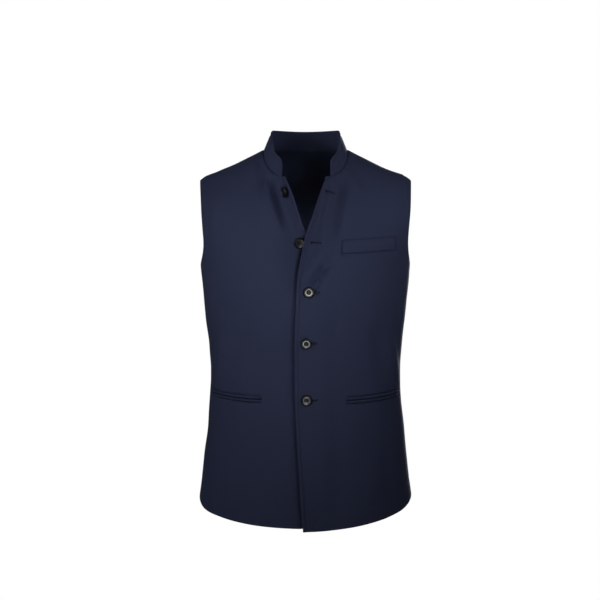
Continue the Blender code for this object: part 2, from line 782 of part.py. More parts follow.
# ---- the jacket --------------------------------------------------------------------------
def build():
    for old in list(bpy.data.objects):
        bpy.data.objects.remove(old)
    wool = material("navy_wool", (0.020, 0.024, 0.048), 0.85)
    horn = material("dark_horn", (0.030, 0.028, 0.030), 0.35)

    left = FrontPanel(1, LEFT_FRONT, LEFT_FOLDS, LEFT_HEM, lifted=True)
    right = FrontPanel(-1, RIGHT_FRONT, RIGHT_FOLDS, RIGHT_HEM, lifted=False)
    left_points, left_normals, left_cells = front_grid(left)
    right_points, right_normals, right_cells = front_grid(right)
    back_points, back_normals, back_cells = back_grid()
    front_left = wall("front_left", left_points, left_normals, left_cells, CLOTH, wool)
    wall(
        "front_right",
        right.mirrored(right_points),
        right.mirrored(right_normals),
        right_cells,
        CLOTH,
        wool,
    )
    wall("back", back_points, back_normals, back_cells, CLOTH, wool)

    collar_points, collar_normals = collar_grid(collar_path(left_points, right_points, back_points))
    collar_cells = np.ones((COLLAR_ROWS, collar_points.shape[1] - 1), bool)
    wall("collar", collar_points, collar_normals, collar_cells, COLLAR_CLOTH, wool)

    patch("chest_welt", left, CHEST_WELT, TRIM_CLOTH + TRIM_GAP, wool, rows=3)
    for name, panel, pocket in (("left", left, LEFT_POCKET), ("right", right, RIGHT_POCKET)):
        offset = (JET_TALL + JET_SLIT) / 2
        for jet, shift in (("upper", offset), ("lower", -offset)):
            strip = pocket._replace(height=pocket.height + shift, to_height=pocket.to_height + shift)
            patch(f"pocket_{name}_{jet}_jet", panel, strip, TRIM_CLOTH + TRIM_GAP, wool, rows=1)

    for number, height in enumerate(BUTTON_HEIGHTS):
        if number < FIRST_FASTENED:
            gap = UNDONE_GAP
            place = right.stand_point(UNDONE_PAST, height)
            out = right.stand_normal(UNDONE_TILT, height)
        else:
            gap = SEAM_GAP
            across = along(RIGHT_FRONT, "across", height)
            place = right.surface_at(across, height)
            out = right.normal_at(across, height)
        button(number + 1, right.mirrored(place), right.mirrored(out), gap, horn)
        across = along(LEFT_FRONT, "across", height)
        place = left.surface_at(across, height)
        if number >= FIRST_FASTENED:
            place[0] = -along(RIGHT_FRONT, "across", height)
        cut(front_left, buttonhole_cutter(number + 1, place, left.normal_at(across, height)))


build()
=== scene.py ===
# %% [markdown]
# # A Nehru jacket in navy wool
# A sleeveless jacket of two fronts, a back and a stand collar, closed by five horn buttons. It
# keeps the hollow shape that a wearer gives it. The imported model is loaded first: it says where
# every piece is, in metres, and each fine piece made here takes the place of a plain solid.

# %% Load the frame
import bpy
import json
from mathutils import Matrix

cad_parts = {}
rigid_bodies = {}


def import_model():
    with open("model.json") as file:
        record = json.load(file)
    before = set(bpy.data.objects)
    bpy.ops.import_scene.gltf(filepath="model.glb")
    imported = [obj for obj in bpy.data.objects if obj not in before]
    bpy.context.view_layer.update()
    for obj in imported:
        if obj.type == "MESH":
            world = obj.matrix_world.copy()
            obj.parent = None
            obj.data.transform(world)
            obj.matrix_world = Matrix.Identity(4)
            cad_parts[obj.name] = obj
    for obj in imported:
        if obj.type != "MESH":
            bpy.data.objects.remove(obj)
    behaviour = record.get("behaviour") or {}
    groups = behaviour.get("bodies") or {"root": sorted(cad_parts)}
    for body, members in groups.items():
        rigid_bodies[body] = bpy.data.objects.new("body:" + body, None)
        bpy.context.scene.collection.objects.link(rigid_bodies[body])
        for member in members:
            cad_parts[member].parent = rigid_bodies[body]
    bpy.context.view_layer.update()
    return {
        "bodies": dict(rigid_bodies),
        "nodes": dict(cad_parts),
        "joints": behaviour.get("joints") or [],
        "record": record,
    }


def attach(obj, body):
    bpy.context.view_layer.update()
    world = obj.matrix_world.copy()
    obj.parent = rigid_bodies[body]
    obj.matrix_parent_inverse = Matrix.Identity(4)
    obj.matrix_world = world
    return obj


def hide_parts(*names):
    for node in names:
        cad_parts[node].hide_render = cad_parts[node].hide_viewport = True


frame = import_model()

# %% Tools
import json
import math
from collections import namedtuple
from functools import partial

import bmesh
import bpy
import numpy as np
from mathutils import Matrix, Vector, kdtree

METRE = 0.001
TWO_PI = 2 * math.pi


def table_of(kind, *values):
    """A table whose rows are all of one kind."""
    return [kind(*row) for row in values]


# %% [markdown]
# ## The cut
# A tailor cuts each panel from a few body sizes, and the same sizes drive the cloth here, in
# millimetres. +X is the wearer's left, -Y is the front and +Z is up. The origin is the middle of
# the neck, just above the two neck points. A place on the body is a turn round it and a height:
# the turn is 0 at the centre front and a half circle at the centre back. "Across" is a distance
# out from the centre plane, on the panel's own side.

# %% Driving sizes
NECK_HALF = 81.0
SHOULDER_FROM = 75.0
SHOULDER_HALF = 203.0
SHOULDER_SLOPE = 0.56
SHOULDER_EASE = 0.00085
UNDERARM = -226.0
SIDE_HEM = -669.0
BACK_DIP = 6.0
TIP_ROUND = 16.0
TIP_DROP = 5.0
BACK_NECK_DROP = 4.0

CLOTH = 2.4
COLLAR_CLOTH = 3.0
SEAM_LAP = 0.1
SEAM_EASE = 14.0
SIDE_SEAM = math.radians(96)
ARMHOLE_FRONT = math.radians(29)
ARMHOLE_BACK = math.radians(27)
ARMHOLE_CURVE = 0.36

FULLNESS = 2.3
FRONT_ROUND_NECK = 180.0
FRONT_ROUND_TIP = 120.0
BACK_ROUND = 110.0
FRONT_ROUND_POWER = 1.7
BACK_ROUND_POWER = 2.0
print("shoulder to hem:", SIDE_HEM, "at the side, chest line at", UNDERARM)

# %% Sections of the body form, from hem to neck
Section = namedtuple("Section", "height half_width front back")
BODY = table_of(
    Section,
    (-760, 212.0, 128, 119),
    (-690, 207.0, 125, 116),
    (-620, 198.5, 121, 110),
    (-550, 190.5, 117, 99),
    (-485, 185.0, 114, 90),
    (-440, 183.0, 113, 87),
    (-385, 185.0, 116, 90),
    (-330, 191.5, 122, 98),
    (-272, 197.5, 127, 106),
    (-222, 202.0, 125, 111),
    (-160, 209.0, 117, 109),
    (-100, 214.0, 107, 102),
    (-50, 215.0, 99, 96),
    (20, 215.0, 92, 92),
)
Neck = namedtuple("Neck", "height across")
NECKLINE = table_of(
    Neck,
    (-50, 48.5),
    (-46, 56.5),
    (-40, 65.0),
    (-33, 72.0),
    (-24, 77.5),
    (-13, 80.3),
    (-3.3, 81.0),
)
COLLAR_END_HEIGHT = -50.0

# %% [markdown]
# ## Smooth curves through short tables
# A body changes shape softly, so a place between two rows of a table is read from a smooth curve
# and not from a straight line. Whole arrays are read at once, because a loop over a panel's tens
# of thousands of points would be slow.

# %% Reading the tables
def along(rows, column, at):
    """A table's column at places between its rows, on a smooth curve through them."""
    keys = np.array([row[0] for row in rows], float)
    values = np.array([getattr(row, column) for row in rows], float)
    slopes = np.gradient(values, keys)
    at = np.clip(at, keys[0], keys[-1])
    i = np.clip(np.searchsorted(keys, at, "right") - 1, 0, len(keys) - 2)
    span = keys[i + 1] - keys[i]
    s = (at - keys[i]) / span
    start = (1 + 2 * s) * (1 - s) ** 2 * values[i] + s * (1 - s) ** 2 * span * slopes[i]
    return start + s * s * (3 - 2 * s) * values[i + 1] - s * s * (1 - s) * span * slopes[i + 1]


def ease(share):
    """0 below 0, 1 above 1, and a smooth step between."""
    share = np.clip(share, 0.0, 1.0)
    return share * share * (3 - 2 * share)


def mix(start, end, share):
    return start + (end - start) * share


def bell(distance, width):
    """1 in the middle of a soft line, falling to nothing about two widths away."""
    return np.exp(-((distance / width) ** 2))


def unit(vectors):
    lengths = np.linalg.norm(vectors, axis=-1, keepdims=True)
    return vectors / np.maximum(lengths, 1e-9)


def facing(point, across, height, step=1.0, rise=1.0):
    """The direction out of a surface, from places just beside and above this one."""
    sideways = point(across + step, height) - point(across - step, height)
    upward = point(across, height + rise) - point(across, height - rise)
    return unit(np.cross(sideways, upward))


def run_of(line):
    """How far along a line of points each of them lies."""
    steps = np.linalg.norm(np.diff(line, axis=0), axis=1)
    return np.concatenate([[0], np.cumsum(steps)])


def read_along(line, run, at):
    """Points of a line, or what is known at them, read at other places along it."""
    return np.stack([np.interp(at, run, column) for column in line.T], axis=1)


def on_circle(angle):
    return np.stack([np.cos(angle), np.sin(angle)], axis=-1)


print("half width at the chest:", round(float(along(BODY, "half_width", UNDERARM)), 1))

# %% [markdown]
# ## The body form
# The panels lie on one rounded form, as cloth lies on a dress stand. Its level sections are
# rounded boxes that close over the shoulder line like the top of an egg. One formula for the
# fronts and the back makes their seams meet.

# %% Shoulder line and sections
SIDE_LIMIT = 0.999


def shoulder_line(across):
    out = across - SHOULDER_FROM
    tip = np.maximum(across - SHOULDER_HALF + TIP_ROUND, 0) / TIP_ROUND
    return -SHOULDER_SLOPE * out + SHOULDER_EASE * out**2 - TIP_DROP * tip**2


def neck_line(across, rise):
    """A low curve between the two neck points that rises so much in the middle."""
    return shoulder_line(NECK_HALF) + rise * (1 - (across / NECK_HALF) ** 2)


def ridge(across):
    """The height of the shoulder line; inside the neck point it goes on as a low crown."""
    across = np.abs(across)
    crown = neck_line(across, SHOULDER_SLOPE * NECK_HALF / 2)
    return np.where(across < NECK_HALF, crown, shoulder_line(across))


def back_top(across):
    """The upper edge of the back: the shoulder line, and the neckline between the neck points."""
    return np.where(np.abs(across) < NECK_HALF, neck_line(across, -BACK_NECK_DROP), ridge(across))


def swell(turn):
    sides = np.abs(np.sin(turn)) ** FULLNESS + np.abs(np.cos(turn)) ** FULLNESS
    return sides ** (-1 / FULLNESS)


def turn_at(across, height):
    """The turn of the place on the front that lies that far across."""
    share = np.clip(across / along(BODY, "half_width", height), -SIDE_LIMIT, SIDE_LIMIT)
    return np.arctan2(share, (1 - np.abs(share) ** FULLNESS) ** (1 / FULLNESS))


def across_at(turn, height):
    return along(BODY, "half_width", height) * swell(turn) * np.sin(turn)


# %% Points and directions on the form
def body_point(turn, height):
    """The outer face of the cloth: rounded sections that close over the shoulder line."""
    across = across_at(turn, height)
    is_front = np.cos(turn) > 0
    depth = np.where(is_front, along(BODY, "front", height), along(BODY, "back", height))
    tip_share = np.minimum(np.abs(across) / SHOULDER_HALF, 1.0)
    reach = np.where(is_front, mix(FRONT_ROUND_NECK, FRONT_ROUND_TIP, tip_share), BACK_ROUND)
    power = np.where(is_front, FRONT_ROUND_POWER, BACK_ROUND_POWER)
    drop = np.clip((ridge(across) - height) / reach, 0.0, 1.0)
    closing = (1 - (1 - drop) ** 2) ** (1 / power)
    apart = SEAM_LAP / 2 * ease((height - UNDERARM) / SEAM_EASE)
    forward = depth * swell(turn) * np.cos(turn) * closing - np.where(is_front, apart, -apart)
    return np.stack([across, -forward, height + np.zeros_like(across)], axis=-1)


def outward_at(turn, height):
    return facing(body_point, turn, height, step=0.004, rise=1.5)


print("centre front of the chest:", body_point(np.array(0.0), np.array(UNDERARM)).round(1))

# %% [markdown]
# ## Folds and ripples
# Well pressed wool still has soft troughs and ridges, down from the neck, from the strained third
# button, over the waist and into the hem. Cloth simulation would scatter them at random, so each
# is placed one by one, from one place to another. A little seeded ripple keeps the rest from looking
# like a moulded shell.

# %% Tables of folds
FOLD_FADE = 0.35
Fold = namedtuple("Fold", "across height to_across to_height half_width rise")
LEFT_FOLDS = table_of(
    Fold,
    (72, -34, 42, -186, 22, -9.0),
    (56, -40, 26, -206, 13, 3.0),
    (80, -16, 125, -80, 17, -4.0),
    (10, -262, 38, -214, 15, -3.0),
    (4, -232, 46, -176, 20, 3.0),
    (152, -332, 172, -456, 20, 3.0),
    (176, -492, 186, -760, 20, 2.5),
    (2, -274, 52, -216, 8, -6.5),
    (-6, -256, 34, -198, 13, 3.4),
    (132, -318, 148, -450, 22, -3.6),
    (158, -330, 178, -470, 11, 2.6),
    (20, -356, 74, -322, 11, -0.5),
    (22, -372, 88, -388, 12, 0.5),
    (22, -470, 64, -440, 11, -0.4),
    (84, -30, 120, -52, 6, -1.2),
    (150, -250, 190, -282, 14, -0.8),
    (120, -520, 132, -700, 26, 0.9),
    (66, -540, 60, -720, 28, -0.8),
)
RIGHT_FOLDS = table_of(
    Fold,
    (66, -34, 26, -164, 20, -9.5),
    (86, -12, 80, -98, 13, -4.0),
    (96, -50, 60, -190, 26, 3.0),
    (-10, -262, -38, -214, 15, -3.0),
    (148, -332, 172, -456, 20, 3.0),
    (178, -520, 187, -760, 20, 2.5),
    (134, -318, 150, -460, 22, -2.2),
    (156, -330, 178, -470, 11, 2.2),
    (80, -36, 82, -78, 5, -1.6),
    (70, -40, 71, -72, 4, -1.2),
    (76, -40, 76, -80, 4, 0.9),
    (150, -246, 188, -284, 14, -0.9),
    (96, -300, 128, -420, 30, -0.9),
    (40, -540, 52, -716, 28, 0.9),
    (118, -520, 128, -700, 30, -0.8),
)
BACK_FOLDS = table_of(
    Fold,
    (-120, -60, -64, -212, 26, -2.2),
    (118, -64, 70, -204, 24, -2.0),
    (-96, -90, -150, -260, 22, 1.8),
    (100, -84, 152, -250, 22, 1.9),
    (-104, -330, -62, -520, 30, 2.2),
    (96, -322, 66, -506, 30, 2.0),
    (-138, -400, -60, -436, 14, -1.3),
    (140, -410, 52, -428, 13, -1.2),
    (-150, -452, -92, -470, 12, -0.9),
    (-146, -520, -160, -690, 26, 2.0),
    (142, -530, 158, -690, 26, 1.8),
    (10, -470, -4, -680, 36, -1.6),
)


def fold_rise(folds, across, height):
    """How far the folds lift the cloth at each place."""
    rise = np.zeros(np.broadcast(across, height).shape)
    for fold in folds:
        run = (fold.to_across - fold.across, fold.to_height - fold.height)
        length = math.hypot(*run)
        out = across - fold.across
        up = height - fold.height
        share = (out * run[0] + up * run[1]) / length**2
        away = np.abs(out * run[1] - up * run[0]) / length
        ends = ease(share / FOLD_FADE) * ease((1 - share) / FOLD_FADE)
        ridge_share = np.clip(1 - (away / fold.half_width) ** 2, 0, 1) ** 2
        rise += fold.rise * ends * ridge_share
    return rise


# %% Seeded ripples
RIPPLE_COUNT = 16
RIPPLE_RISE = 0.22
RIPPLE_UNEVEN = (0.4, 1.0)
RIPPLE_LENGTHS = (46, 150)
RIPPLE_SLANT = 0.5
Ripple = namedtuple("Ripple", "across height phase rise")


def make_ripples(seed):
    """Long shallow waves, most of them running down the cloth."""
    draw = np.random.default_rng(seed)
    ripples = []
    for _ in range(RIPPLE_COUNT):
        wave = TWO_PI / draw.uniform(*RIPPLE_LENGTHS)
        angle = draw.normal(0, RIPPLE_SLANT)
        rise = RIPPLE_RISE * draw.uniform(*RIPPLE_UNEVEN)
        phase = draw.uniform(0, TWO_PI)
        ripples.append(Ripple(wave * math.cos(angle), wave * math.sin(angle), phase, rise))
    return ripples


def ripple_rise(ripples, across, height):
    rise = np.zeros(np.broadcast(across, height).shape)
    for wave in ripples:
        rise += wave.rise * np.sin(wave.across * across + wave.height * height + wave.phase)
    return rise


LEFT_RIPPLES, RIGHT_RIPPLES, BACK_RIPPLES = (make_ripples(seed) for seed in (5, 8, 13))
print("folds placed:", len(LEFT_FOLDS + RIGHT_FOLDS + BACK_FOLDS))

# %% [markdown]
# ## The pockets' places
# The chest has a welt pocket, and each hip a pocket between two narrow jets. They come before the
# fronts, because pressing a pocket leaves a faint trench in the panel round it.

# %% Pocket sizes
Pocket = namedtuple("Pocket", "across height to_across to_height tall bow")
CHEST_WELT = Pocket(70, -183, 169.5, -178, 22.5, 0.0)
JET_TALL = 3.9
JET_SLIT = 2.3
POCKET_BOW = 1.6
LEFT_POCKET = Pocket(77, -475, 176.5, -467, 2 * JET_TALL + JET_SLIT, POCKET_BOW)
RIGHT_POCKET = Pocket(84, -473, 179, -466, 2 * JET_TALL + JET_SLIT, POCKET_BOW)
Press = namedtuple("Press", "depth width out share_above")
WELT_PRESS = Press(3.2, 1.4, 0.6, 0.7)
JET_PRESS = Press(6.5, 1.3, 0.5, 0.4)
SLIT_DEPTH = 8.0
SLIT_WIDTH = 3.1
SLIT_EDGE = 1.6
JET_TAPER = 6.0


def bow_of(pocket, share):
    """How far a pocket's line hangs below a straight one."""
    share = np.clip(share, 0.0, 1.0)
    return pocket.bow * 4 * share * (1 - share)


def pocket_press(pockets, across, height):
    """The shallow trench round each pocket, where the iron pressed it."""
    sink = np.zeros(np.broadcast(across, height).shape)
    for pocket in pockets:
        press = JET_PRESS if pocket.bow else WELT_PRESS
        length = pocket.to_across - pocket.across
        share = (across - pocket.across) / length
        middle = mix(pocket.height, pocket.to_height, np.clip(share, 0, 1)) - bow_of(pocket, share)
        out = np.abs(across - pocket.across - length / 2) - length / 2
        from_middle = np.abs(height - middle)
        up = from_middle - pocket.tall / 2
        depth = press.depth * np.where(height > middle, press.share_above, 1.0)
        if pocket.bow:
            slit = SLIT_DEPTH * ease((SLIT_WIDTH - from_middle) / SLIT_EDGE)
            sink += ease(-out / JET_TAPER) * (depth * bell(up - press.out, press.width) + slit)
        else:
            outside = np.hypot(np.maximum(out, 0), np.maximum(up, 0))
            outside += np.minimum(np.maximum(out, up), 0)
            sink += depth * bell(outside - press.out, press.width)
    return sink


print("welt is", CHEST_WELT.to_across - CHEST_WELT.across, "mm long")

# %% [markdown]
# ## The two fronts
# Each front runs from its edge, past the centre line where the buttons sit, round to the side
# seam. The strip between the centre line and the edge is the button stand, which turns forward
# and shows its edge where the top two buttons are undone. The left front lies over the right
# one, so it stands off a little there, and its lower edge swings forward.

# %% The line of each front
Front = namedtuple("Front", "height across edge")
LEFT_LINE = table_of(
    Front,
    (-760, 20.5, -2.0),
    (-727, 17.9, -4.6),
    (-641, 11.7, -10.8),
    (-545, 5.4, -17.1),
    (-474, 2.1, -20.4),
    (-333, 2.1, -20.4),
    (-300, 3.4, -19.1),
    (-256, 5.6, -16.6),
    (-223, 7.0, -12.3),
    (-194, 8.0, -6.0),
    (-162, 12.0, 0.8),
    (-119, 26.0, 15.9),
    (-75, 40.0, 31.3),
    (-50, 49.5, 40.8),
)
RIGHT_LINE = table_of(
    Front,
    (-760, -3.0, -25.5),
    (-545, -2.6, -25.1),
    (-333, -2.1, -24.6),
    (-265, -5.6, -28.1),
    (-223, 1.0, -21.5),
    (-194, 8.0, -14.5),
    (-172, 13.6, -8.6),
    (-160, 16.6, -3.5),
    (-147, 20.0, 3.5),
    (-119, 26.5, 14.4),
    (-75, 38.2, 30.0),
    (-50, 47.5, 42.0),
)
Hem = namedtuple("Hem", "dip power")
Panel = namedtuple("Panel", "side line folds ripples pockets hem lifted")
LEFT_POCKETS = [CHEST_WELT, LEFT_POCKET]
LEFT = Panel(1, LEFT_LINE, LEFT_FOLDS, LEFT_RIPPLES, LEFT_POCKETS, Hem(55.0, 1.35), True)
RIGHT = Panel(-1, RIGHT_LINE, RIGHT_FOLDS, RIGHT_RIPPLES, [RIGHT_POCKET], Hem(50.0, 1.0), False)

# %% How a front stands off the body
BUTTON_STAND = 22.5
ROLL_SHARE = 0.06
ROLL_START = 0.5
ROLL_REACH = 8.0
ROLL_LENGTH = 6.0
Lift = namedtuple("Lift", "forward out fade top growth")
OVERLAP = Lift(3.4, 62.0, 36.0, -105.0, 45.0)
HEM_SWING = Lift(7.0, 34.0, 54.0, -520.0, 200.0)
EDGE_KICK = 1.8
KICK_REACH = 13.0
UNDER_SINK = 4.0
UNDER_WIDTH = 4.5
ARM_FORWARD = 10.0
ARM_FROM = 118.0
ARM_WIDE = 60.0
ARM_BOTTOM = 50.0
ARM_TOP = -60.0


def hem_height(panel, turn):
    """The height of the hem: lowest at the centre front, highest at the side."""
    return SIDE_HEM - panel.hem.dip * np.maximum(np.cos(turn), 0.0) ** panel.hem.power


def lapped(height):
    """How closed the fronts are: nought where the top buttons are undone, and one below."""
    return ease((OVERLAP.top - height) / OVERLAP.growth)


def lift(panel, across, height):
    """How far the upper front stands off where it lies over the other one."""
    forward = 0.0
    for part in (OVERLAP, HEM_SWING) if panel.lifted else ():
        beside = ease((part.out - across) / part.fade)
        forward = forward + part.forward * beside * ease((part.top - height) / part.growth)
    return forward


def arm_ease(across, height):
    """How far the cloth beside the armhole comes forward, where the arm holds it off the side."""
    out = np.maximum(across - ARM_FROM, 0.0) / ARM_WIDE
    held = ease((height - UNDERARM) / ARM_BOTTOM) * ease((ARM_TOP - height) / ARM_BOTTOM)
    return ARM_FORWARD * np.minimum(out, 1.0) ** 2 * held


def under_sink(panel, across, height):
    """How far the lower front gives way under the edge of the upper one."""
    if panel.lifted:
        return 0.0
    away = across + along(LEFT_LINE, "edge", height)
    return UNDER_SINK * bell(away, UNDER_WIDTH) * lapped(height + BUTTON_STAND)


def edge_kick(panel, past, height):
    """How far the very edge of the upper front curls forward."""
    if not panel.lifted:
        return 0.0
    return EDGE_KICK * ease(1 - (BUTTON_STAND - past) / KICK_REACH) * lapped(height + BUTTON_STAND)


def stand_turn(panel, height):
    """The angle by which the button stand turns towards the front."""
    seen = along(panel.line, "across", height) - along(panel.line, "edge", height)
    share = (seen / BUTTON_STAND - ROLL_SHARE) / (1 - ROLL_SHARE)
    return np.arccos(np.clip(share, 0.0, 1.0))


def roll(panel, across, height):
    """How far the cloth comes forward just outside the centre line, as the stand turns."""
    outside = np.maximum(across - along(panel.line, "across", height), 0.0)
    slope = np.tan(ROLL_START * stand_turn(panel, height))
    return slope * ROLL_REACH * np.exp(-outside / ROLL_REACH)


# %% Places on a front
HEM_TURN_UP = 32.0
HEM_MARK = 0.35
HEM_MARK_WIDTH = 3.0
STAND_STEPS = 24


def hem_mark(height, hem):
    """The faint line that the turned-up hem leaves on the outer face."""
    return HEM_MARK * bell(height - hem - HEM_TURN_UP, HEM_MARK_WIDTH)


def front_point(panel, turn, height):
    """A place on the outer face of a front, in the panel's own coordinates."""
    place = body_point(turn, height)
    across = place[..., 0]
    rise = fold_rise(panel.folds, across, height) + ripple_rise(panel.ripples, across, height)
    rise -= pocket_press(panel.pockets, across, height) + under_sink(panel, across, height)
    rise -= hem_mark(height, hem_height(panel, turn))
    place = place + outward_at(turn, height) * rise[..., None]
    forward = lift(panel, across, height) + roll(panel, across, height) + arm_ease(across, height)
    place[..., 1] -= forward
    return place


def surface_at(panel, across, height):
    return front_point(panel, turn_at(across, height), height)


def on_front(panel, across, height):
    """A place on a front's finished face, and the direction out of it, folds and all."""
    out = facing(partial(surface_at, panel), across, height)
    return surface_at(panel, across, height), out


def stand_point(panel, past, height):
    """A place on the button stand, that far past the centre line."""
    turned = stand_turn(panel, height)
    across = along(panel.line, "across", height)
    forward = np.zeros(np.broadcast(past, height).shape)
    step = past / STAND_STEPS
    for i in range(STAND_STEPS):
        angle = turned * mix(ROLL_START, 1, ease((i + 0.5) * step / ROLL_LENGTH))
        across = across - np.cos(angle) * step
        forward = forward + np.sin(angle) * step
    place = surface_at(panel, across, height)
    place[..., 1] -= forward + edge_kick(panel, past, height)
    return place


def stand_normal(panel, past, height):
    """The direction out of the button stand; past grows the other way from across."""
    return facing(partial(stand_point, panel), past, height, step=-1.0)


print("left front at the chest:", surface_at(LEFT, np.array(NECK_HALF), np.array(UNDERARM)).round(1))

# %% [markdown]
# ## Laying a grid on each panel
# Threads run up and across in woven cloth, and a grid of points laid the same way bends as cloth
# does. It is closer near every edge, so that the edges can be rounded, and beside the hip
# pockets. A plane with modifiers would not follow the curved armhole.

# %% Spacing of the grid
EDGE_STEPS = np.array([0.0, 0.12, 0.35, 0.7, 1.15, 1.7, 2.4, 3.4, 4.8])
EVEN_FROM = 1.3
SETTLING = 14
BODY_WIDE = 235.0
LOWER_TALL = 460.0
CHEST_TALL = 238.0
SHOULDER_LONG = 88.0
LOWER_ROWS = 96
ARMHOLE_ROWS = 80
POCKET_ROWS = 30
POCKET_BAND = (0.462, 0.508)
CHEST_ROWS = 22
SHOULDER_ROWS = 22
FRONT_COLUMNS = 112
STAND_COLUMNS = 22


def close_ends(count, span, start=True, end=True):
    """Shares from 0 to 1: even, but closer near the ends that are edges of the cloth."""
    near = EDGE_STEPS / span
    clear = near[-1] * EVEN_FROM
    shares = np.linspace(0, 1, count + 1)
    if start:
        shares = np.concatenate([near, shares[shares > clear]])
    if end:
        shares = np.concatenate([shares[shares < 1 - clear], 1 - near[::-1]])
    return shares


def whole(grid):
    """The cells of a grid with no missing corner, and the closed line round it."""
    present = np.ones((grid.shape[0] - 1, grid.shape[1] - 1), bool)
    return present, np.concatenate([grid[:, 0], grid[-1], grid[::-1, -1], grid[0, ::-1]])


def row_shares():
    """How far up each row lies: 0 to 1 from hem to underarm, and 0 to 1 from there to the top."""
    corner = (COLLAR_END_HEIGHT - UNDERARM) / (ridge(NECKLINE[0].across) - UNDERARM)
    lower = close_ends(LOWER_ROWS, LOWER_TALL, end=False)[:-1]
    outside = (lower < POCKET_BAND[0]) | (lower > POCKET_BAND[1])
    lower = np.sort(np.append(lower[outside], np.linspace(*POCKET_BAND, POCKET_ROWS)))
    quarter = math.pi / 2 * np.arange(ARMHOLE_ROWS) / ARMHOLE_ROWS
    armhole = ARMHOLE_CURVE * (1 - np.cos(quarter))
    chest_span = CHEST_TALL * (corner - ARMHOLE_CURVE)
    chest = mix(ARMHOLE_CURVE, corner, close_ends(CHEST_ROWS, chest_span, False))
    up = close_ends(SHOULDER_ROWS, SHOULDER_LONG, start=False)[1:]
    shoulder = 1 - (1 - corner) * (1 - up) ** FRONT_ROUND_POWER
    upper = np.concatenate([armhole, chest, shoulder])
    return lower, upper, len(lower) + len(armhole) + len(chest) - 1


def armhole_turn(share, sweep):
    """How far the armhole has come round from the side seam at each row."""
    left = np.clip(1 - share / ARMHOLE_CURVE, 0, 1)
    return sweep * np.sqrt(1 - left**2)


def height_of_row(turn, share, top):
    """The height of places in the upper rows, which tilt from level to the shoulder line."""
    height = UNDERARM * (1 - share) + np.zeros_like(turn)
    for _ in range(SETTLING):
        height = mix(UNDERARM, top(across_at(turn, height)), share)
    return height


LOWER, UPPER, CORNER_ROW = row_shares()
print("rows:", len(LOWER) + len(UPPER), "with the collar's end at row", CORNER_ROW)

# %% The grid of a front
NECK_BLEND = 14.0


def centre_line(panel, share):
    """Where the centre line, and above it the neckline, crosses each upper row."""
    corner = UPPER[CORNER_ROW - len(LOWER)]
    off = along(panel.line, "across", COLLAR_END_HEIGHT) - NECKLINE[0].across
    height = UNDERARM * (1 - share)
    for _ in range(SETTLING):
        neck = along(NECKLINE, "across", height)
        neck = neck + off * (1 - ease((height - COLLAR_END_HEIGHT) / NECK_BLEND))
        across = np.where(share <= corner, along(panel.line, "across", height), neck)
        height = mix(UNDERARM, ridge(across), share)
    return across, height


def front_turns(panel):
    """The turn and height of each point of a front's grid, outside its centre line."""
    seam_turn = SIDE_SEAM + SEAM_LAP / 2 / along(BODY, "half_width", UNDERARM)
    steps = close_ends(FRONT_COLUMNS, BODY_WIDE)
    low, high = LOWER[:, None], UPPER[:, None]
    centre_height = mix(hem_height(panel, 0.0), UNDERARM, low)
    start = turn_at(along(panel.line, "across", centre_height), centre_height)
    low_turn = mix(start, seam_turn, steps)
    low_height = mix(hem_height(panel, low_turn), UNDERARM, low)
    start = turn_at(*centre_line(panel, high))
    high_turn = mix(start, seam_turn - armhole_turn(high, ARMHOLE_FRONT), steps)
    high_height = height_of_row(high_turn, high, ridge)
    return np.concatenate([low_turn, high_turn]), np.concatenate([low_height, high_height])


def front_grid(panel):
    """The outer face of a front as rows of points, with the cells that exist."""
    turn, height = front_turns(panel)
    past = BUTTON_STAND * (1 - close_ends(STAND_COLUMNS, BUTTON_STAND, end=False)[:-1])
    stand = stand_point(panel, past[None, :], height[:, :1])
    grid = np.concatenate([stand, front_point(panel, turn, height)], axis=1)
    present = whole(grid)[0]
    present[CORNER_ROW:, : len(past)] = False
    return grid, present, len(past)


# %% [markdown]
# ## From a grid to cloth
# Cloth is thin but not paper: its edges are folded in and pressed, so they are round. The wall
# has an outer face, an inner face behind it and a rim between, and both faces draw in towards
# each other near every edge. Blender's Solidify would leave the edges square, and the round
# edges give a seam its small valley.

# %% Walls with round edges
RIM_REACH = 2.3
RIM_FLAT = 0.12
DENSE = 0.25


def grid_normals(grid, present):
    """Directions out of the grid, from the cells round each point."""
    a, b = grid[:-1, :-1], grid[:-1, 1:]
    c, d = grid[1:, 1:], grid[1:, :-1]
    out = np.cross(c - a, d - b) * present[..., None]
    normals = np.zeros_like(grid)
    normals[:-1, :-1] += out
    normals[:-1, 1:] += out
    normals[1:, 1:] += out
    normals[1:, :-1] += out
    return unit(normals)


def distance_to(points, line):
    """How far each point is from a line of points."""
    dense = [line[:1]]
    for a, b in zip(line[:-1], line[1:]):
        count = max(1, math.ceil(np.linalg.norm(b - a) / DENSE))
        dense.append(a + (b - a) * (np.arange(1, count + 1) / count)[:, None])
    dense = np.concatenate(dense)
    tree = kdtree.KDTree(len(dense))
    for i, point in enumerate(dense):
        tree.insert(point, i)
    tree.balance()
    distances = [tree.find(point)[2] for point in points.reshape(-1, 3)]
    return np.reshape(distances, points.shape[:-1])


def tuck(distance, thickness):
    """How far a face draws in near an edge, on a round."""
    near = np.clip(1 - distance / RIM_REACH, 0, 1)
    return (thickness / 2 - RIM_FLAT) * (1 - np.sqrt(1 - near**2))


def grain_of(grid, start_column):
    """The place of each point in the flat cloth, in millimetres along and across the threads."""
    steps = np.linalg.norm(np.diff(grid, axis=1), axis=2)
    wide = np.concatenate([np.zeros((len(grid), 1)), np.cumsum(steps, axis=1)], axis=1)
    wide -= wide[:, start_column : start_column + 1]
    return np.stack([wide, grid[..., 2]], axis=-1)


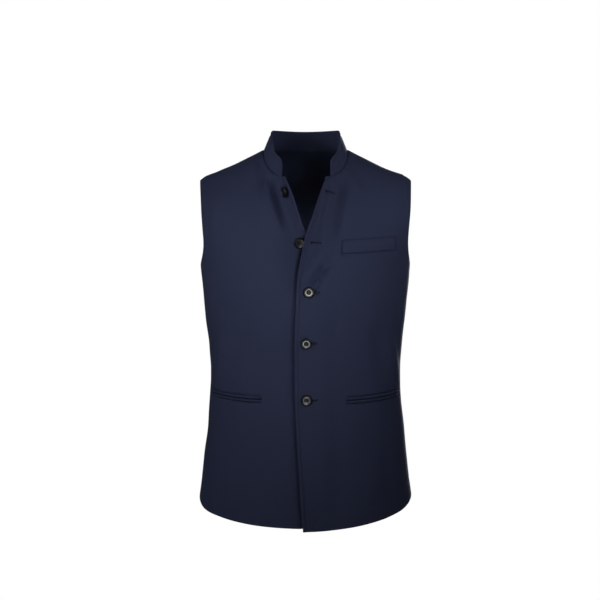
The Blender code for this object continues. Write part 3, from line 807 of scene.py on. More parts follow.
# %% Building the mesh of a wall
def put(name, data):
    """A new object in the scene."""
    made = bpy.data.objects.new(name, data)
    bpy.context.scene.collection.objects.link(made)
    return made


def add_mesh(name, points, faces, finish, grain=None):
    """A smooth mesh from points in millimetres, with its faces turned outwards."""
    mesh = bpy.data.meshes.new(name)
    mesh.from_pydata((np.asarray(points) * METRE).tolist(), [], faces)
    if grain is not None:
        layer = mesh.uv_layers.new(name="grain")
        corner = np.zeros(len(mesh.loops), int)
        mesh.loops.foreach_get("vertex_index", corner)
        layer.data.foreach_set("uv", np.asarray(grain)[corner].ravel())
    shape = bmesh.new()
    shape.from_mesh(mesh)
    bmesh.ops.recalc_face_normals(shape, faces=shape.faces)
    shape.to_mesh(mesh)
    shape.free()
    mesh.shade_smooth()
    mesh.materials.append(finish)
    return put(name, mesh)


def closed_faces(first, after, sides):
    """The faces of a closed tube: rings of points, numbered on, and a cap at each end."""
    faces = [list(range(first, first + sides)), list(range(after - 1, after - 1 - sides, -1))]
    for low in range(first, after - sides, sides):
        around = [(low + i, low + (i + 1) % sides) for i in range(sides)]
        faces += [[a, b, b + sides, a + sides] for a, b in around]
    return faces


def wall(name, outer, inner, present, grain, side):
    """A closed wall of wool between two grids of points; a side of -1 mirrors it."""
    around = np.pad(present, 1)
    used = around[:-1, :-1] | around[:-1, 1:] | around[1:, :-1] | around[1:, 1:]
    number = np.cumsum(used.ravel()).reshape(used.shape) - 1
    count = int(used.sum())
    corners = [number[:-1, :-1], number[:-1, 1:], number[1:, 1:], number[1:, :-1]]
    cells = np.stack([corner[present] for corner in corners], axis=1)
    edges = {edge for ring in cells.tolist() for edge in zip(ring, ring[1:] + ring[:1])}
    faces = cells.tolist() + (cells[:, ::-1] + count).tolist()
    faces += [[b, a, a + count, b + count] for a, b in sorted(edges) if (b, a) not in edges]
    points = np.concatenate([outer[used], inner[used]]) * np.array([side, 1, 1])
    return add_mesh(name, points, faces, WOOL, np.concatenate([grain[used], grain[used]]))


def cut_through(piece, outlines, depth):
    """Cuts holes: each outline is a ring of points, cut both ways along its direction."""
    points, faces = [], []
    for ring, way in outlines:
        first = len(points)
        points.extend(np.concatenate([ring - depth * way, ring + depth * way]))
        faces += closed_faces(first, len(points), len(ring))
    cutter = add_mesh("cutter", points, faces, piece.data.materials[0])
    step = piece.modifiers.new("cut", "BOOLEAN")
    step.solver = "EXACT"
    step.object = cutter
    seen = piece.evaluated_get(bpy.context.evaluated_depsgraph_get())
    finished = bpy.data.meshes.new_from_object(seen)
    piece.modifiers.clear()
    piece.data = finished
    bpy.data.objects.remove(cutter)


# %% [markdown]
# ## Stitching along the edges
# A tailor holds a turned edge flat with small stitches a few millimetres inside it. The cloth
# puffs up between the stitches and the edge, and dips along them. Both are shaped into the
# faces, because a bump in the material would leave the outline of the edge flat.

# %% Faces with rounded rims and an edge stitch
EDGE_STITCH = 7.6
STITCH_DIP = 0.85
STITCH_DIP_WIDTH = 2.8
EDGE_PUFF = 0.45


def edge_relief(distance):
    """The puffed band outside an edge stitch, and the dip along the stitch itself."""
    puff = EDGE_PUFF * bell(distance - EDGE_STITCH / 2, EDGE_STITCH / 3)
    return puff - STITCH_DIP * bell(distance - EDGE_STITCH, STITCH_DIP_WIDTH)


def make_cloth(name, grid, present, rim, stitched=(), thickness=CLOTH, start=0, side=1):
    """A wall of wool on a grid, drawn in at its rim and along its stitching."""
    normals = grid_normals(grid, present)
    drawn = tuck(distance_to(grid, rim), thickness)[..., None]
    relief = np.zeros(grid.shape[:-1])
    for line in stitched:
        relief += edge_relief(distance_to(grid, line))
    outer = grid + normals * (relief[..., None] - drawn)
    inner = grid - normals * (thickness - drawn)
    made = wall(name, outer, inner, present, grain_of(grid, start), side)
    print(name, "has", len(made.data.vertices), "points")
    return made


# %% [markdown]
# ## Wool, thread and horn
# The jacket is a fine navy worsted: a close twill, dull, with a faint blue bloom where light
# grazes it. The thread is a darker navy with a little more shine, and the buttons are dark
# polished horn. Pictures of cloth would show their repeat, so noise and waves make the weave.
# The effects that finishes share are node groups, each built once.

# %% Node helpers
def add_node(tree, kind, inputs=None, **settings):
    """A shader node; each of its inputs is given a value or linked to another node's output."""
    node = tree.nodes.new("ShaderNode" + kind)
    for name, value in settings.items():
        setattr(node, name, value)
    for name, value in (inputs or {}).items():
        if isinstance(value, bpy.types.NodeSocket):
            tree.links.new(value, node.inputs[name])
        else:
            node.inputs[name].default_value = value
    return node


def math_node(tree, operation, first, second=0.0):
    return add_node(tree, "Math", {0: first, 1: second}, operation=operation).outputs[0]


def noise_node(tree, place, scale, detail):
    """Noise from 0 to 1; the scale is a number of features per unit of the place given."""
    inputs = {"Vector": place, "Scale": scale, "Detail": detail}
    return add_node(tree, "TexNoise", inputs).outputs["Fac"]


def new_group(name, inputs, outputs):
    """A shader node group with named sockets, and the sockets at its two ends."""
    group = bpy.data.node_groups.new(name, "ShaderNodeTree")
    for in_out, sockets in (("INPUT", inputs), ("OUTPUT", outputs)):
        for label, kind in sockets.items():
            group.interface.new_socket(label, in_out=in_out, socket_type="NodeSocket" + kind)
    start = group.nodes.new("NodeGroupInput").outputs
    return group, start, group.nodes.new("NodeGroupOutput").inputs


# %% Group: a tone that is a little uneven
def uneven_tone():
    """Mixes two near colours by soft noise, as dye and polish never lie quite evenly."""
    sockets = {"Place": "Vector", "Darker": "Color", "Lighter": "Color", "Per Unit": "Float"}
    group, start, end = new_group("uneven tone", sockets, {"Colour": "Color", "Mask": "Float"})
    noise = noise_node(group, start["Place"], start["Per Unit"], detail=4.0)
    spread = add_node(group, "MapRange", {"Value": noise, "From Min": 0.3, "From Max": 0.7})
    mask = spread.outputs["Result"]
    tones = {"Factor": mask, "A": start["Darker"], "B": start["Lighter"]}
    mixed = add_node(group, "Mix", tones, data_type="RGBA")
    group.links.new(mixed.outputs["Result"], end["Colour"])
    group.links.new(mask, end["Mask"])
    return group


# %% Group: a twill weave
RIB_SHARE = 1 / 4
THREAD_RISE = 0.5
WEAVE_RISE = 0.3
SLUBS_PER_MM = 2.4


def twill_weave():
    """Diagonal ribs with the single threads on them; a place is in millimetres on the cloth."""
    sockets = {"Place": "Vector", "Thread": "Float", "Slub": "Float"}
    group, start, end = new_group("twill weave", sockets, {"Height": "Float"})
    worked = partial(math_node, group)
    split = add_node(group, "SeparateXYZ", {0: start["Place"]}).outputs
    across, up = (worked("DIVIDE", split[axis], start["Thread"]) for axis in ("X", "Y"))
    rib = worked("SINE", worked("MULTIPLY", worked("ADD", across, up), TWO_PI * RIB_SHARE))
    warp, weft = (worked("SINE", worked("MULTIPLY", way, TWO_PI)) for way in (across, up))
    threads = worked("MULTIPLY", worked("MULTIPLY", warp, weft), THREAD_RISE)
    weave = worked("MULTIPLY", worked("ADD", rib, threads), WEAVE_RISE)
    uneven = noise_node(group, start["Place"], SLUBS_PER_MM, detail=3.0)
    slub = worked("MULTIPLY", uneven, start["Slub"])
    group.links.new(worked("ADD", weave, slub), end["Height"])
    return group


UNEVEN_TONE = uneven_tone()
TWILL_WEAVE = twill_weave()
print("shared effects:", UNEVEN_TONE.name, "and", TWILL_WEAVE.name)

# %% Setting up a finish
def new_finish(name, constants):
    """A material and its nodes; what is the same all over is set on the shader itself."""
    made = bpy.data.materials.new(name)
    made.use_nodes = True
    for socket, value in constants.items():
        made.node_tree.nodes["Principled BSDF"].inputs[socket].default_value = value
    return made, made.node_tree


def feed(tree, value, socket):
    """Lets a value that changes over the surface drive one of the shader's sockets."""
    tree.links.new(value, tree.nodes["Principled BSDF"].inputs[socket])


def add_tone(tree, place, darker, lighter, per_unit):
    """Colours the shader with an uneven tone, and gives the tone's mask."""
    inputs = {"Place": place, "Darker": (*darker, 1), "Lighter": (*lighter, 1), "Per Unit": per_unit}
    tone = add_node(tree, "Group", inputs, node_tree=UNEVEN_TONE)
    feed(tree, tone.outputs["Colour"], "Base Color")
    return tone.outputs["Mask"]


def add_bump(tree, height, distance, strength):
    """Turns a height into a normal; the distance is in metres."""
    bump = add_node(tree, "Bump", {"Height": height, "Distance": distance, "Strength": strength})
    feed(tree, bump.outputs["Normal"], "Normal")


def object_place(tree):
    return add_node(tree, "TexCoord").outputs["Object"]


# %% Navy worsted
BLUE_BLOOM = (0.42, 0.50, 0.85, 1)


def navy_worsted():
    constants = {
        "Roughness": 0.82,
        "Specular IOR Level": 0.12,
        "Sheen Weight": 0.03,
        "Sheen Roughness": 0.45,
        "Sheen Tint": BLUE_BLOOM,
    }
    made, tree = new_finish("navy worsted", constants)
    grain = add_node(tree, "UVMap", uv_map="grain").outputs["UV"]
    add_tone(tree, grain, (0.0153, 0.0193, 0.0442), (0.0187, 0.0234, 0.0524), per_unit=0.9)
    inputs = {"Place": grain, "Thread": 0.42, "Slub": 0.35}
    weave = add_node(tree, "Group", inputs, node_tree=TWILL_WEAVE)
    add_bump(tree, weave.outputs["Height"], distance=0.00012, strength=0.45)
    return made


# %% Navy thread
def navy_thread():
    constants = {
        "Roughness": 0.55,
        "Specular IOR Level": 0.15,
        "Sheen Weight": 0.15,
        "Sheen Tint": BLUE_BLOOM,
    }
    made, tree = new_finish("navy thread", constants)
    place = object_place(tree)
    mask = add_tone(tree, place, (0.008, 0.010, 0.023), (0.016, 0.020, 0.040), per_unit=900.0)
    add_bump(tree, mask, distance=0.00005, strength=0.5)
    return made


# %% Dark horn
POLISH_FROM = 0.0033
POLISH_TO = 0.0089
POLISH_EDGE = 0.0007
POLISH = 0.75
POLISH_ELSEWHERE = 0.05
HORN_STRETCH = (1.0, 0.22, 1.0)


def polished_ring(tree, place):
    """One on the ring between a button's sunk middle and its rim, and nought elsewhere."""
    flat = add_node(tree, "VectorMath", {0: place, 1: (1, 1, 0)}, operation="MULTIPLY")
    out = add_node(tree, "VectorMath", {0: flat.outputs["Vector"]}, operation="LENGTH")
    shares = []
    for start, end in ((POLISH_FROM, POLISH_FROM + POLISH_EDGE), (POLISH_TO, POLISH_TO - POLISH_EDGE)):
        inputs = {"Value": out.outputs["Value"], "From Min": start, "From Max": end}
        shares.append(add_node(tree, "MapRange", inputs).outputs["Result"])
    return math_node(tree, "MULTIPLY", *shares)


def dark_horn():
    constants = {"Roughness": 0.3, "Specular IOR Level": 0.14, "Coat Roughness": 0.13}
    made, tree = new_finish("dark horn", constants)
    place = object_place(tree)
    stretched = add_node(tree, "Mapping", {"Vector": place, "Scale": HORN_STRETCH}).outputs["Vector"]
    add_tone(tree, stretched, (0.002, 0.002, 0.0025), (0.006, 0.006, 0.0065), per_unit=420.0)
    polish = math_node(tree, "MULTIPLY", polished_ring(tree, place), POLISH)
    feed(tree, math_node(tree, "ADD", polish, POLISH_ELSEWHERE), "Coat Weight")
    scratches = noise_node(tree, place, scale=2600.0, detail=3.0)
    add_bump(tree, scratches, distance=0.00001, strength=0.12)
    return made


WOOL = navy_worsted()
THREAD = navy_thread()
HORN = dark_horn()
print("finishes:", WOOL.name, THREAD.name, HORN.name)

# %% [markdown]
# ## Making the fronts
# With the form, the folds and the wall ready, each front is one grid. The right front is worked
# out as if it were a left one and then mirrored, so one set of formulas serves both.

# %% The fronts
NECK_PRESS = 1.6
NECK_PRESS_WIDTH = 2.6


def mirrored(panel, points):
    return points * np.array([panel.side, 1, 1])


def neckline_of(grid, stand):
    """The edge of a front under the collar, from its front corner to the neck point."""
    return np.concatenate([grid[CORNER_ROW, : stand + 1], grid[CORNER_ROW:, stand]])


def front_rim(grid, stand):
    """The closed line round a front: edge, neckline, shoulder, armhole, side and hem."""
    edge, neckline = grid[: CORNER_ROW + 1, 0], neckline_of(grid, stand)
    return np.concatenate([edge, neckline, grid[-1, stand:], grid[::-1, -1], grid[0, ::-1]])


def neck_press(grid, stand):
    """The valley that the iron leaves on a front beside the collar's seam."""
    return NECK_PRESS * bell(distance_to(grid, neckline_of(grid, stand)), NECK_PRESS_WIDTH)


def make_front(name, panel):
    grid, present, stand = front_grid(panel)
    grid = grid - grid_normals(grid, present) * neck_press(grid, stand)[..., None]
    rim, edge = front_rim(grid, stand), grid[: CORNER_ROW + 1, 0]
    made = make_cloth(name, grid, present, rim, [edge], start=stand, side=panel.side)
    return made, grid, stand


front_left, left_grid, stand_column = make_front("left_front_cloth", LEFT)
front_right, right_grid, _ = make_front("right_front_cloth", RIGHT)

# %% [markdown]
# ## The back
# The back is one whole panel between the side seams. Its folds are of the same kind as on the
# fronts: soft troughs at the shoulder blades, a few creases at the waist, and long soft waves
# towards the hem.

# %% The back
BACK_COLUMNS = 132
NECK_TURN = math.pi - float(turn_at(np.array(NECK_HALF), np.array(0.0)))
SHOULDER_SHARE = 9 / 28
BACK_RIPPLE_FADE = 60.0


def back_hem(turn):
    """The height of the back's hem, a little lower at the centre."""
    return SIDE_HEM - BACK_DIP * np.maximum(-np.cos(turn), 0)


def back_turns():
    """The turn and height of each point of the back's grid."""
    seam_turn = SIDE_SEAM - SEAM_LAP / 2 / along(BODY, "half_width", UNDERARM)
    even = close_ends(BACK_COLUMNS, 2 * BODY_WIDE)
    low_turn = mix(seam_turn, TWO_PI - seam_turn, even) + np.zeros((len(LOWER), 1))
    low_height = mix(back_hem(low_turn), UNDERARM, LOWER[:, None])
    share = UPPER[:, None]
    start = seam_turn + armhole_turn(share, ARMHOLE_BACK)
    shoulder = mix(start, NECK_TURN, even / SHOULDER_SHARE)
    far_shoulder = TWO_PI - mix(start, NECK_TURN, (1 - even) / SHOULDER_SHARE)
    neck = mix(NECK_TURN, TWO_PI - NECK_TURN, (even - SHOULDER_SHARE) / (1 - 2 * SHOULDER_SHARE))
    aim = np.where(even <= SHOULDER_SHARE, shoulder, neck)
    aim = np.where(even >= 1 - SHOULDER_SHARE, far_shoulder, aim)
    turn = mix(mix(start, TWO_PI - start, even), aim, ease(share))
    height = height_of_row(turn, share, back_top)
    return np.concatenate([low_turn, turn]), np.concatenate([low_height, height])


def back_grid():
    turn, height = back_turns()
    place = body_point(turn, height)
    rise = fold_rise(BACK_FOLDS, place[..., 0], height)
    rise += ripple_rise(BACK_RIPPLES, place[..., 0], height) * ease(-height / BACK_RIPPLE_FADE)
    rise -= hem_mark(height, back_hem(turn))
    return place + outward_at(turn, height) * rise[..., None]


def make_back():
    grid = back_grid()
    return make_cloth("back_cloth", grid, *whole(grid), start=grid.shape[1] // 2), grid


back, back_points = make_back()

# %% [markdown]
# ## The stand collar
# The collar is a straight band that rises from the neckline and leans in towards the neck, with
# a rounded corner at each front end. It is laid along the very points of the neckline, so it
# fits whatever the panels do.

# %% The collar's line and grid
COLLAR_BACK = 41.0
COLLAR_FRONT = 35.0
COLLAR_CORNER = 9.0
COLLAR_SETTLE = 60.0
COLLAR_LEAN = 0.41
COLLAR_END_LEAN = 0.03
COLLAR_SEAM = -0.8
COLLAR_ROWS = 16
COLLAR_STEP = 2.2
SAME_PLACE = 0.01


def collar_path():
    """The whole neckline, from the right front's end round the back to the left's, evened out."""
    left = left_grid[CORNER_ROW:, stand_column]
    right = mirrored(RIGHT, right_grid[CORNER_ROW:, stand_column])
    neck = back_points[-1, np.abs(back_points[-1, :, 0]) <= NECK_HALF + SAME_PLACE]
    path = np.concatenate([right[:-1], neck[::-1], left[::-1][1:]])
    run = run_of(path)
    at = close_ends(int(run[-1] / COLLAR_STEP), run[-1]) * run[-1]
    return read_along(path, run, at), at


def collar_grid(path, at):
    """The collar's outer face: it rises from the neckline and leans in towards the neck."""
    from_end = np.minimum(at, at[-1] - at)
    settled = ease(from_end / COLLAR_SETTLE)
    cut = np.maximum(0.0, COLLAR_CORNER - from_end)
    corner = COLLAR_CORNER - np.sqrt(COLLAR_CORNER**2 - cut**2)
    tall = mix(COLLAR_FRONT, COLLAR_BACK, settled) - corner
    inward = unit(path * np.array([-1, -1, 0]))
    lean = mix(COLLAR_END_LEAN, COLLAR_LEAN, settled)
    rise = unit(inward * lean[:, None] + np.array([0, 0, 1.0]))
    reach = COLLAR_SEAM + tall * close_ends(COLLAR_ROWS, COLLAR_BACK)[:, None]
    return path + rise * reach[..., None]


# %% Making the collar
def make_collar():
    path, at = collar_path()
    print("the neckline is", round(float(at[-1])), "mm long")
    grid = collar_grid(path, at)[:, ::-1]
    free = np.concatenate([grid[:, 0], grid[-1], grid[::-1, -1]])
    return make_cloth("collar_cloth", grid, *whole(grid), [free], COLLAR_CLOTH)


collar = make_collar()

# %% [markdown]
# ## Welt and jets
# The chest pocket shows a welt, a folded strip over the opening, and each hip pocket two jets,
# narrow rounded strips with the slit between them. Each is made from the front's own points,
# moved out a little. A flat strip bent afterwards would stand off or sink in at its ends.

# %% Strips on a front
TRIM_CLOTH = 1.5
TRIM_GAP = 0.25
STRIP_STEP = 1.6
JET_CROWN = 1.6
JET_END = 0.3


def strip_grid(panel, strip, rows):
    """Even places over a strip, with the unpressed front's surface and direction at each."""
    length = strip.to_across - strip.across
    share = close_ends(int(length / STRIP_STEP), length)[None, :]
    up = close_ends(rows, strip.tall)[:, None]
    across = strip.across + length * share + 0 * up
    taper = ease(np.minimum(share, 1 - share) * length / JET_TAPER) if strip.bow else 1.0
    height = mix(strip.height, strip.to_height, share) - bow_of(strip, share)
    height = height + strip.tall * (up - 0.5) * mix(JET_END, 1, taper)
    return on_front(panel._replace(pockets=[]), across, height)


def make_strip(name, panel, strip, rows, crown=0.0):
    """A strip of cloth that lies on a front; a crown makes it fuller along its middle."""
    surface, out = strip_grid(panel, strip, rows)
    present, rim = whole(surface)
    distance = distance_to(surface, rim)
    drawn = tuck(distance, TRIM_CLOTH)
    full = crown * np.sqrt(np.clip(1 - (1 - distance / (strip.tall / 2)) ** 2, 0, 1))
    outer = surface + out * (TRIM_GAP + TRIM_CLOTH + full - drawn)[..., None]
    inner = surface + out * (TRIM_GAP + drawn)[..., None]
    return wall(name, outer, inner, present, grain_of(surface, 0), panel.side)


# %% The welt and the four jets
WELT_ROWS = 14
JET_ROWS = 8
welt = make_strip("chest_welt_cloth", LEFT, CHEST_WELT, WELT_ROWS)
jets = {}
offset = (JET_TALL + JET_SLIT) / 2
for side_name, panel, pocket in (("left", LEFT, LEFT_POCKET), ("right", RIGHT, RIGHT_POCKET)):
    for jet_name, shift in (("upper", offset), ("lower", -offset)):
        heights = {"height": pocket.height + shift, "to_height": pocket.to_height + shift}
        strip = pocket._replace(tall=JET_TALL, **heights)
        node = f"pocket_{side_name}_{jet_name}_jet"
        jets[node] = make_strip(node + "_cloth", panel, strip, JET_ROWS, crown=JET_CROWN)
print("strips on the fronts:", 1 + len(jets))

# %% [markdown]
# ## Buttonholes
# A tailored buttonhole is a keyhole: a round eye near the edge, where the button's shank rests,
# and a slit that runs away from the edge. It is cut through the mesh with a Boolean, as through
# the cloth, and then bound with close stitches laid round the cut.

# %% Where the buttons and holes are
BUTTON_HEIGHTS = [-78, -173.5, -267.5, -365, -474]
FIRST_FASTENED = 2
UNDONE_PAST = 1.5
UNDONE_TILT = 4.0
UNDONE_GAP = 0.8
SHANK_LENGTH = 4.4
EYELET_RADIUS = 2.1
HOLE_LENGTH = 20.0
HOLE_WIDTHS = [0.6, 1.2, 1.7, 1.5, 1.3]
HOLE_CUT_DEPTH = 9.0
EYELET_SIDES = 24


def standing(place, out):
    """The matrix that puts a shape's own +Z along a direction, at a place in millimetres."""
    out = Vector(out).normalized()
    side = Vector((1, 0, 0)) - out * out.x
    side.normalize()
    turned = Matrix((side, out.cross(side), out)).transposed().to_4x4()
    return Matrix.Translation(Vector(place) * METRE) @ turned


def hole_frame(number):
    """The middle of a buttonhole's eye, and the hole's own across, up and out directions."""
    height = np.array(float(BUTTON_HEIGHTS[number]))
    place, out = on_front(LEFT, along(LEFT_LINE, "across", height), height)
    if number >= FIRST_FASTENED:
        place[0] = -along(RIGHT_LINE, "across", height)
    return place, *np.array(standing(place, out))[:3, :3].T


def keyhole(number, grown):
    """The outline of a keyhole, a little larger than the cut by the amount given."""
    half = HOLE_WIDTHS[number] / 2 + grown
    radius = EYELET_RADIUS + grown
    opening = math.asin(half / radius)
    angle = np.linspace(opening, TWO_PI - opening, EYELET_SIDES + 1)
    slit = [(HOLE_LENGTH + grown, -half), (HOLE_LENGTH + grown, half)]
    return np.concatenate([slit, radius * on_circle(angle)])


# %% Cutting the holes
def hole_outlines():
    """Each buttonhole's outline in space, and the direction out of the cloth there."""
    for number in range(len(BUTTON_HEIGHTS)):
        place, side, up, out = hole_frame(number)
        flat = keyhole(number, 0.0)
        yield place + flat[:, :1] * side + flat[:, 1:] * up, out


cut_through(front_left, hole_outlines(), HOLE_CUT_DEPTH)
print("left front after cutting:", len(front_left.data.polygons), "faces")

# %% [markdown]
# ## Thread
# Every stitch that shows is a thin tube that dives into the cloth at both ends. One helper makes
# hundreds of them into a single mesh, because a curve object for each stitch would be slow.

# %% Many short tubes as one mesh
TUBE_SIDES = 6
TUBE_BLUNT = 0.55
ASKEW = [0.31, 0.87, 0.38]


def tubes(name, runs, radius):
    """Closed tubes along runs of points; each ends a little thinner than its middle."""
    points, faces = [], []
    circle = on_circle(TWO_PI * np.arange(TUBE_SIDES) / TUBE_SIDES)
    for run in runs:
        run = np.asarray(run, float)
        ahead = unit(np.gradient(run, axis=0))
        first_side = np.cross(ahead[0], ASKEW)
        side = unit(first_side - ahead * (ahead @ first_side)[:, None])
        other = np.cross(ahead, side)
        thick = np.full(len(run), radius)
        thick[[0, -1]] *= TUBE_BLUNT
        first = len(points)
        for i in range(len(run)):
            points.extend(run[i] + circle @ np.array([side[i], other[i]]) * thick[i])
        faces += closed_faces(first, len(points), TUBE_SIDES)
    return add_mesh(name, points, faces, THREAD)


# %% Binding the buttonholes
PURL_PITCH = 0.55
PURL_RADIUS = 0.26
PURL_WIDE = 1.7
PURL_UNEVEN = (0.9, 1.08)
PURL_OUT = [-0.15, 0.15, 0.6, 1.0]
PURL_RISE = [-0.25, 0.3, 0.24, -0.25]
HOLE_RIM = 0.12
TACK_OUT = 0.9
TACK_SHIFTS = (-0.5, 0.0, 0.5)
TACK_UP = [-1.7, -0.85, 0.85, 1.7]
TACK_RISE = [-0.2, 0.55, 0.55, -0.2]


def on_hole(frame, flat, lifted):
    """Puts flat points round a buttonhole onto the curved front."""
    place, side, up, _ = frame
    spread = place + flat[:, :1] * side + flat[:, 1:] * up
    surface, out = on_front(LEFT, spread[:, 0], spread[:, 2])
    return surface + out * np.array(lifted)[:, None]


def even_outline(outline, pitch):
    """Places at an even pitch round a closed outline, and the way out from each."""
    ring = np.concatenate([outline, outline[:1]])
    run = run_of(ring)
    count = int(run[-1] / pitch)
    place = read_along(ring, run, np.arange(count) * run[-1] / count)
    ahead = unit(np.roll(place, -1, axis=0) - np.roll(place, 1, axis=0))
    return place, np.stack([ahead[:, 1], -ahead[:, 0]], axis=1)


def make_buttonhole_binding():
    draw = np.random.default_rng(21)
    runs = []
    for number in range(len(BUTTON_HEIGHTS)):
        frame = hole_frame(number)
        for start, way in zip(*even_outline(keyhole(number, HOLE_RIM), PURL_PITCH)):
            reach = PURL_WIDE * draw.uniform(*PURL_UNEVEN)
            flat = start + way * (np.array(PURL_OUT) * reach)[:, None]
            runs.append(on_hole(frame, flat, PURL_RISE))
        for shift in TACK_SHIFTS:
            flat = np.array([[HOLE_LENGTH + TACK_OUT + shift, up] for up in TACK_UP])
            runs.append(on_hole(frame, flat, TACK_RISE))
    return tubes("buttonhole_binding", runs, PURL_RADIUS)


binding = make_buttonhole_binding()
print("binding stitches:", len(binding.data.polygons))

# %% [markdown]
# ## Buttons
# The buttons are turned horn: a dull rim, a polished ring inside it, and a sunk middle with four
# holes. A lathe turns one profile all the way round, and the mesh does too, ring by ring. Each
# is sewn on with a cross of thread, and stands on a wound shank that leaves room for the cloth.

# %% A turned button with four holes
BUTTON_SIDES = 72
BUTTON_RINGS = 44
THREAD_HOLE_SIDES = 24
THREAD_HOLE_RADIUS = 0.95
THREAD_HOLE_OUT = 2.3 / math.sqrt(2)
BUTTON_CUT_DEPTH = 8.0
CREASE = math.radians(40)
Ring = namedtuple("Ring", "at radius height")
BUTTON_PROFILE = [
    (0.0, 2.7), (2.8, 2.7), (3.4, 2.8), (3.9, 3.05), (4.5, 3.2), (5.6, 3.25), (7.0, 3.3),
    (7.7, 3.5), (8.2, 3.9), (8.7, 4.0), (9.3, 3.6), (10.1, 2.8), (10.7, 2.1), (11.0, 1.5),
    (10.8, 1.0), (10.0, 0.6), (8.6, 0.3), (6.4, 0.05), (3.0, 0.0), (0.0, 0.0),
]


def smooth_profile():
    """The radius and height of each ring, on a smooth curve through the button's profile."""
    run = run_of(BUTTON_PROFILE)
    table = [Ring(at, *place) for at, place in zip(run, BUTTON_PROFILE)]
    at = np.interp(np.linspace(0, len(run) - 1, BUTTON_RINGS), range(len(run)), run)
    return np.maximum(along(table, "radius", at), 0), along(table, "height", at)


def turned_button():
    """The button before its holes are drilled; the profile's ends lie on its axis."""
    circle = on_circle(TWO_PI * np.arange(BUTTON_SIDES) / BUTTON_SIDES)
    radii, heights = smooth_profile()
    points = [(0, 0, heights[0])]
    for radius, height in zip(radii[1:-1], heights[1:-1]):
        points += [(x, y, height) for x, y in radius * circle]
    points.append((0, 0, heights[-1]))
    last = len(points) - 1
    faces = closed_faces(1, last, BUTTON_SIDES)[2:]
    for i in range(BUTTON_SIDES):
        j = (i + 1) % BUTTON_SIDES
        low = last - BUTTON_SIDES
        faces += [[0, 1 + i, 1 + j], [low + i, last, low + j]]
    return add_mesh("button", points, faces, HORN)


def thread_holes():
    circle = THREAD_HOLE_RADIUS * on_circle(TWO_PI * np.arange(THREAD_HOLE_SIDES) / THREAD_HOLE_SIDES)
    for x in (-THREAD_HOLE_OUT, THREAD_HOLE_OUT):
        for y in (-THREAD_HOLE_OUT, THREAD_HOLE_OUT):
            yield np.column_stack([circle + (x, y), 0 * circle[:, 0]]), np.array([0, 0, 1])


def button_mesh():
    disc = turned_button()
    cut_through(disc, thread_holes(), BUTTON_CUT_DEPTH)
    finished = disc.data
    finished.shade_smooth()
    finished.set_sharp_from_angle(angle=CREASE)
    bpy.data.objects.remove(disc)
    return finished


BUTTON_MESH = button_mesh()
print("one button has", len(BUTTON_MESH.polygons), "faces")

# %% The thread of a button
SHANK_RADIUS = 1.07
SHANK_TURNS = 9
SHANK_SIDES = 14
THREAD_RADIUS = 0.3
WINDING_ENDS = (-0.6, 0.2)
CORE_ENDS = (-0.8, 0.6)
CORE_STEPS = 5
CROSS_SHARES = np.array([0.0, 0.1, 0.5, 0.9, 1.0])
CROSS_HEIGHTS = np.array([1.0, 2.85, 3.15, 2.85, 1.0])
CROSS_OVER = np.array([0, 0, 0.25, 0, 0])
CROSS_PITCH = 0.36
CORE_PLACES = (-0.5, 0, 0.5)


def button_thread(number, gap):
    """A wound shank under the button and a cross of thread over it."""
    runs = []
    for turn in (-1, 0, 1):
        for x, y in ((1, 1), (1, -1)):
            aside = np.array([-y, x]) / math.sqrt(2) * CROSS_PITCH * turn
            flat = np.array([x, y]) * THREAD_HOLE_OUT * (2 * CROSS_SHARES[:, None] - 1) + aside
            height = SHANK_LENGTH + CROSS_HEIGHTS + CROSS_OVER * (x != y)
            runs.append(np.column_stack([flat, height]))
    angle = TWO_PI * np.arange(SHANK_TURNS * SHANK_SIDES + 1) / SHANK_SIDES
    shank = np.array([gap, SHANK_LENGTH])
    height = np.linspace(*(shank + WINDING_ENDS), len(angle))
    runs.append(np.column_stack([SHANK_RADIUS * on_circle(angle), height]))
    for x in CORE_PLACES:
        for y in CORE_PLACES:
            runs.append([[x, y, h] for h in np.linspace(*(shank + CORE_ENDS), CORE_STEPS)])
    return tubes(f"button_{number}_thread", runs, THREAD_RADIUS)


def button_place(number, height):
    """Where a button stands on the right front, the way it faces, and its shank's gap."""
    if number < FIRST_FASTENED:
        place = stand_point(RIGHT, np.array(UNDONE_PAST), height)
        return place, stand_normal(RIGHT, np.array(UNDONE_TILT), height), UNDONE_GAP
    return *on_front(RIGHT, along(RIGHT_LINE, "across", height), height), 0.0


buttons, button_threads = [], []
for number, height in enumerate(BUTTON_HEIGHTS):
    place, out, gap = button_place(number, np.array(float(height)))
    stand = standing(mirrored(RIGHT, place), mirrored(RIGHT, out))
    disc = put(f"horn_button_{number + 1}", BUTTON_MESH.copy())
    disc.matrix_world = stand @ Matrix.Translation((0, 0, SHANK_LENGTH * METRE))
    thread = button_thread(number + 1, gap)
    thread.matrix_world = stand
    buttons.append(disc)
    button_threads.append(thread)
print("buttons made:", len(buttons))

# %% [markdown]
# ## Edge stitches
# A row of small hand stitches runs down each front edge. They sit in the dip that was shaped for
# them, in the same navy, so that they read as texture and not as lines.

# %% Rows of small stitches
STITCH_LONG = 1.7
STITCH_PITCH = 3.6
STITCH_RADIUS = 0.21
STITCH_SHARES = np.array([0, 0.2, 0.5, 0.8, 1.0])
STITCH_RISE = np.array([-0.35, 0.1, 0.16, 0.1, -0.35])
PATH_STEP = 1.2
BELOW_NECK = 2.0


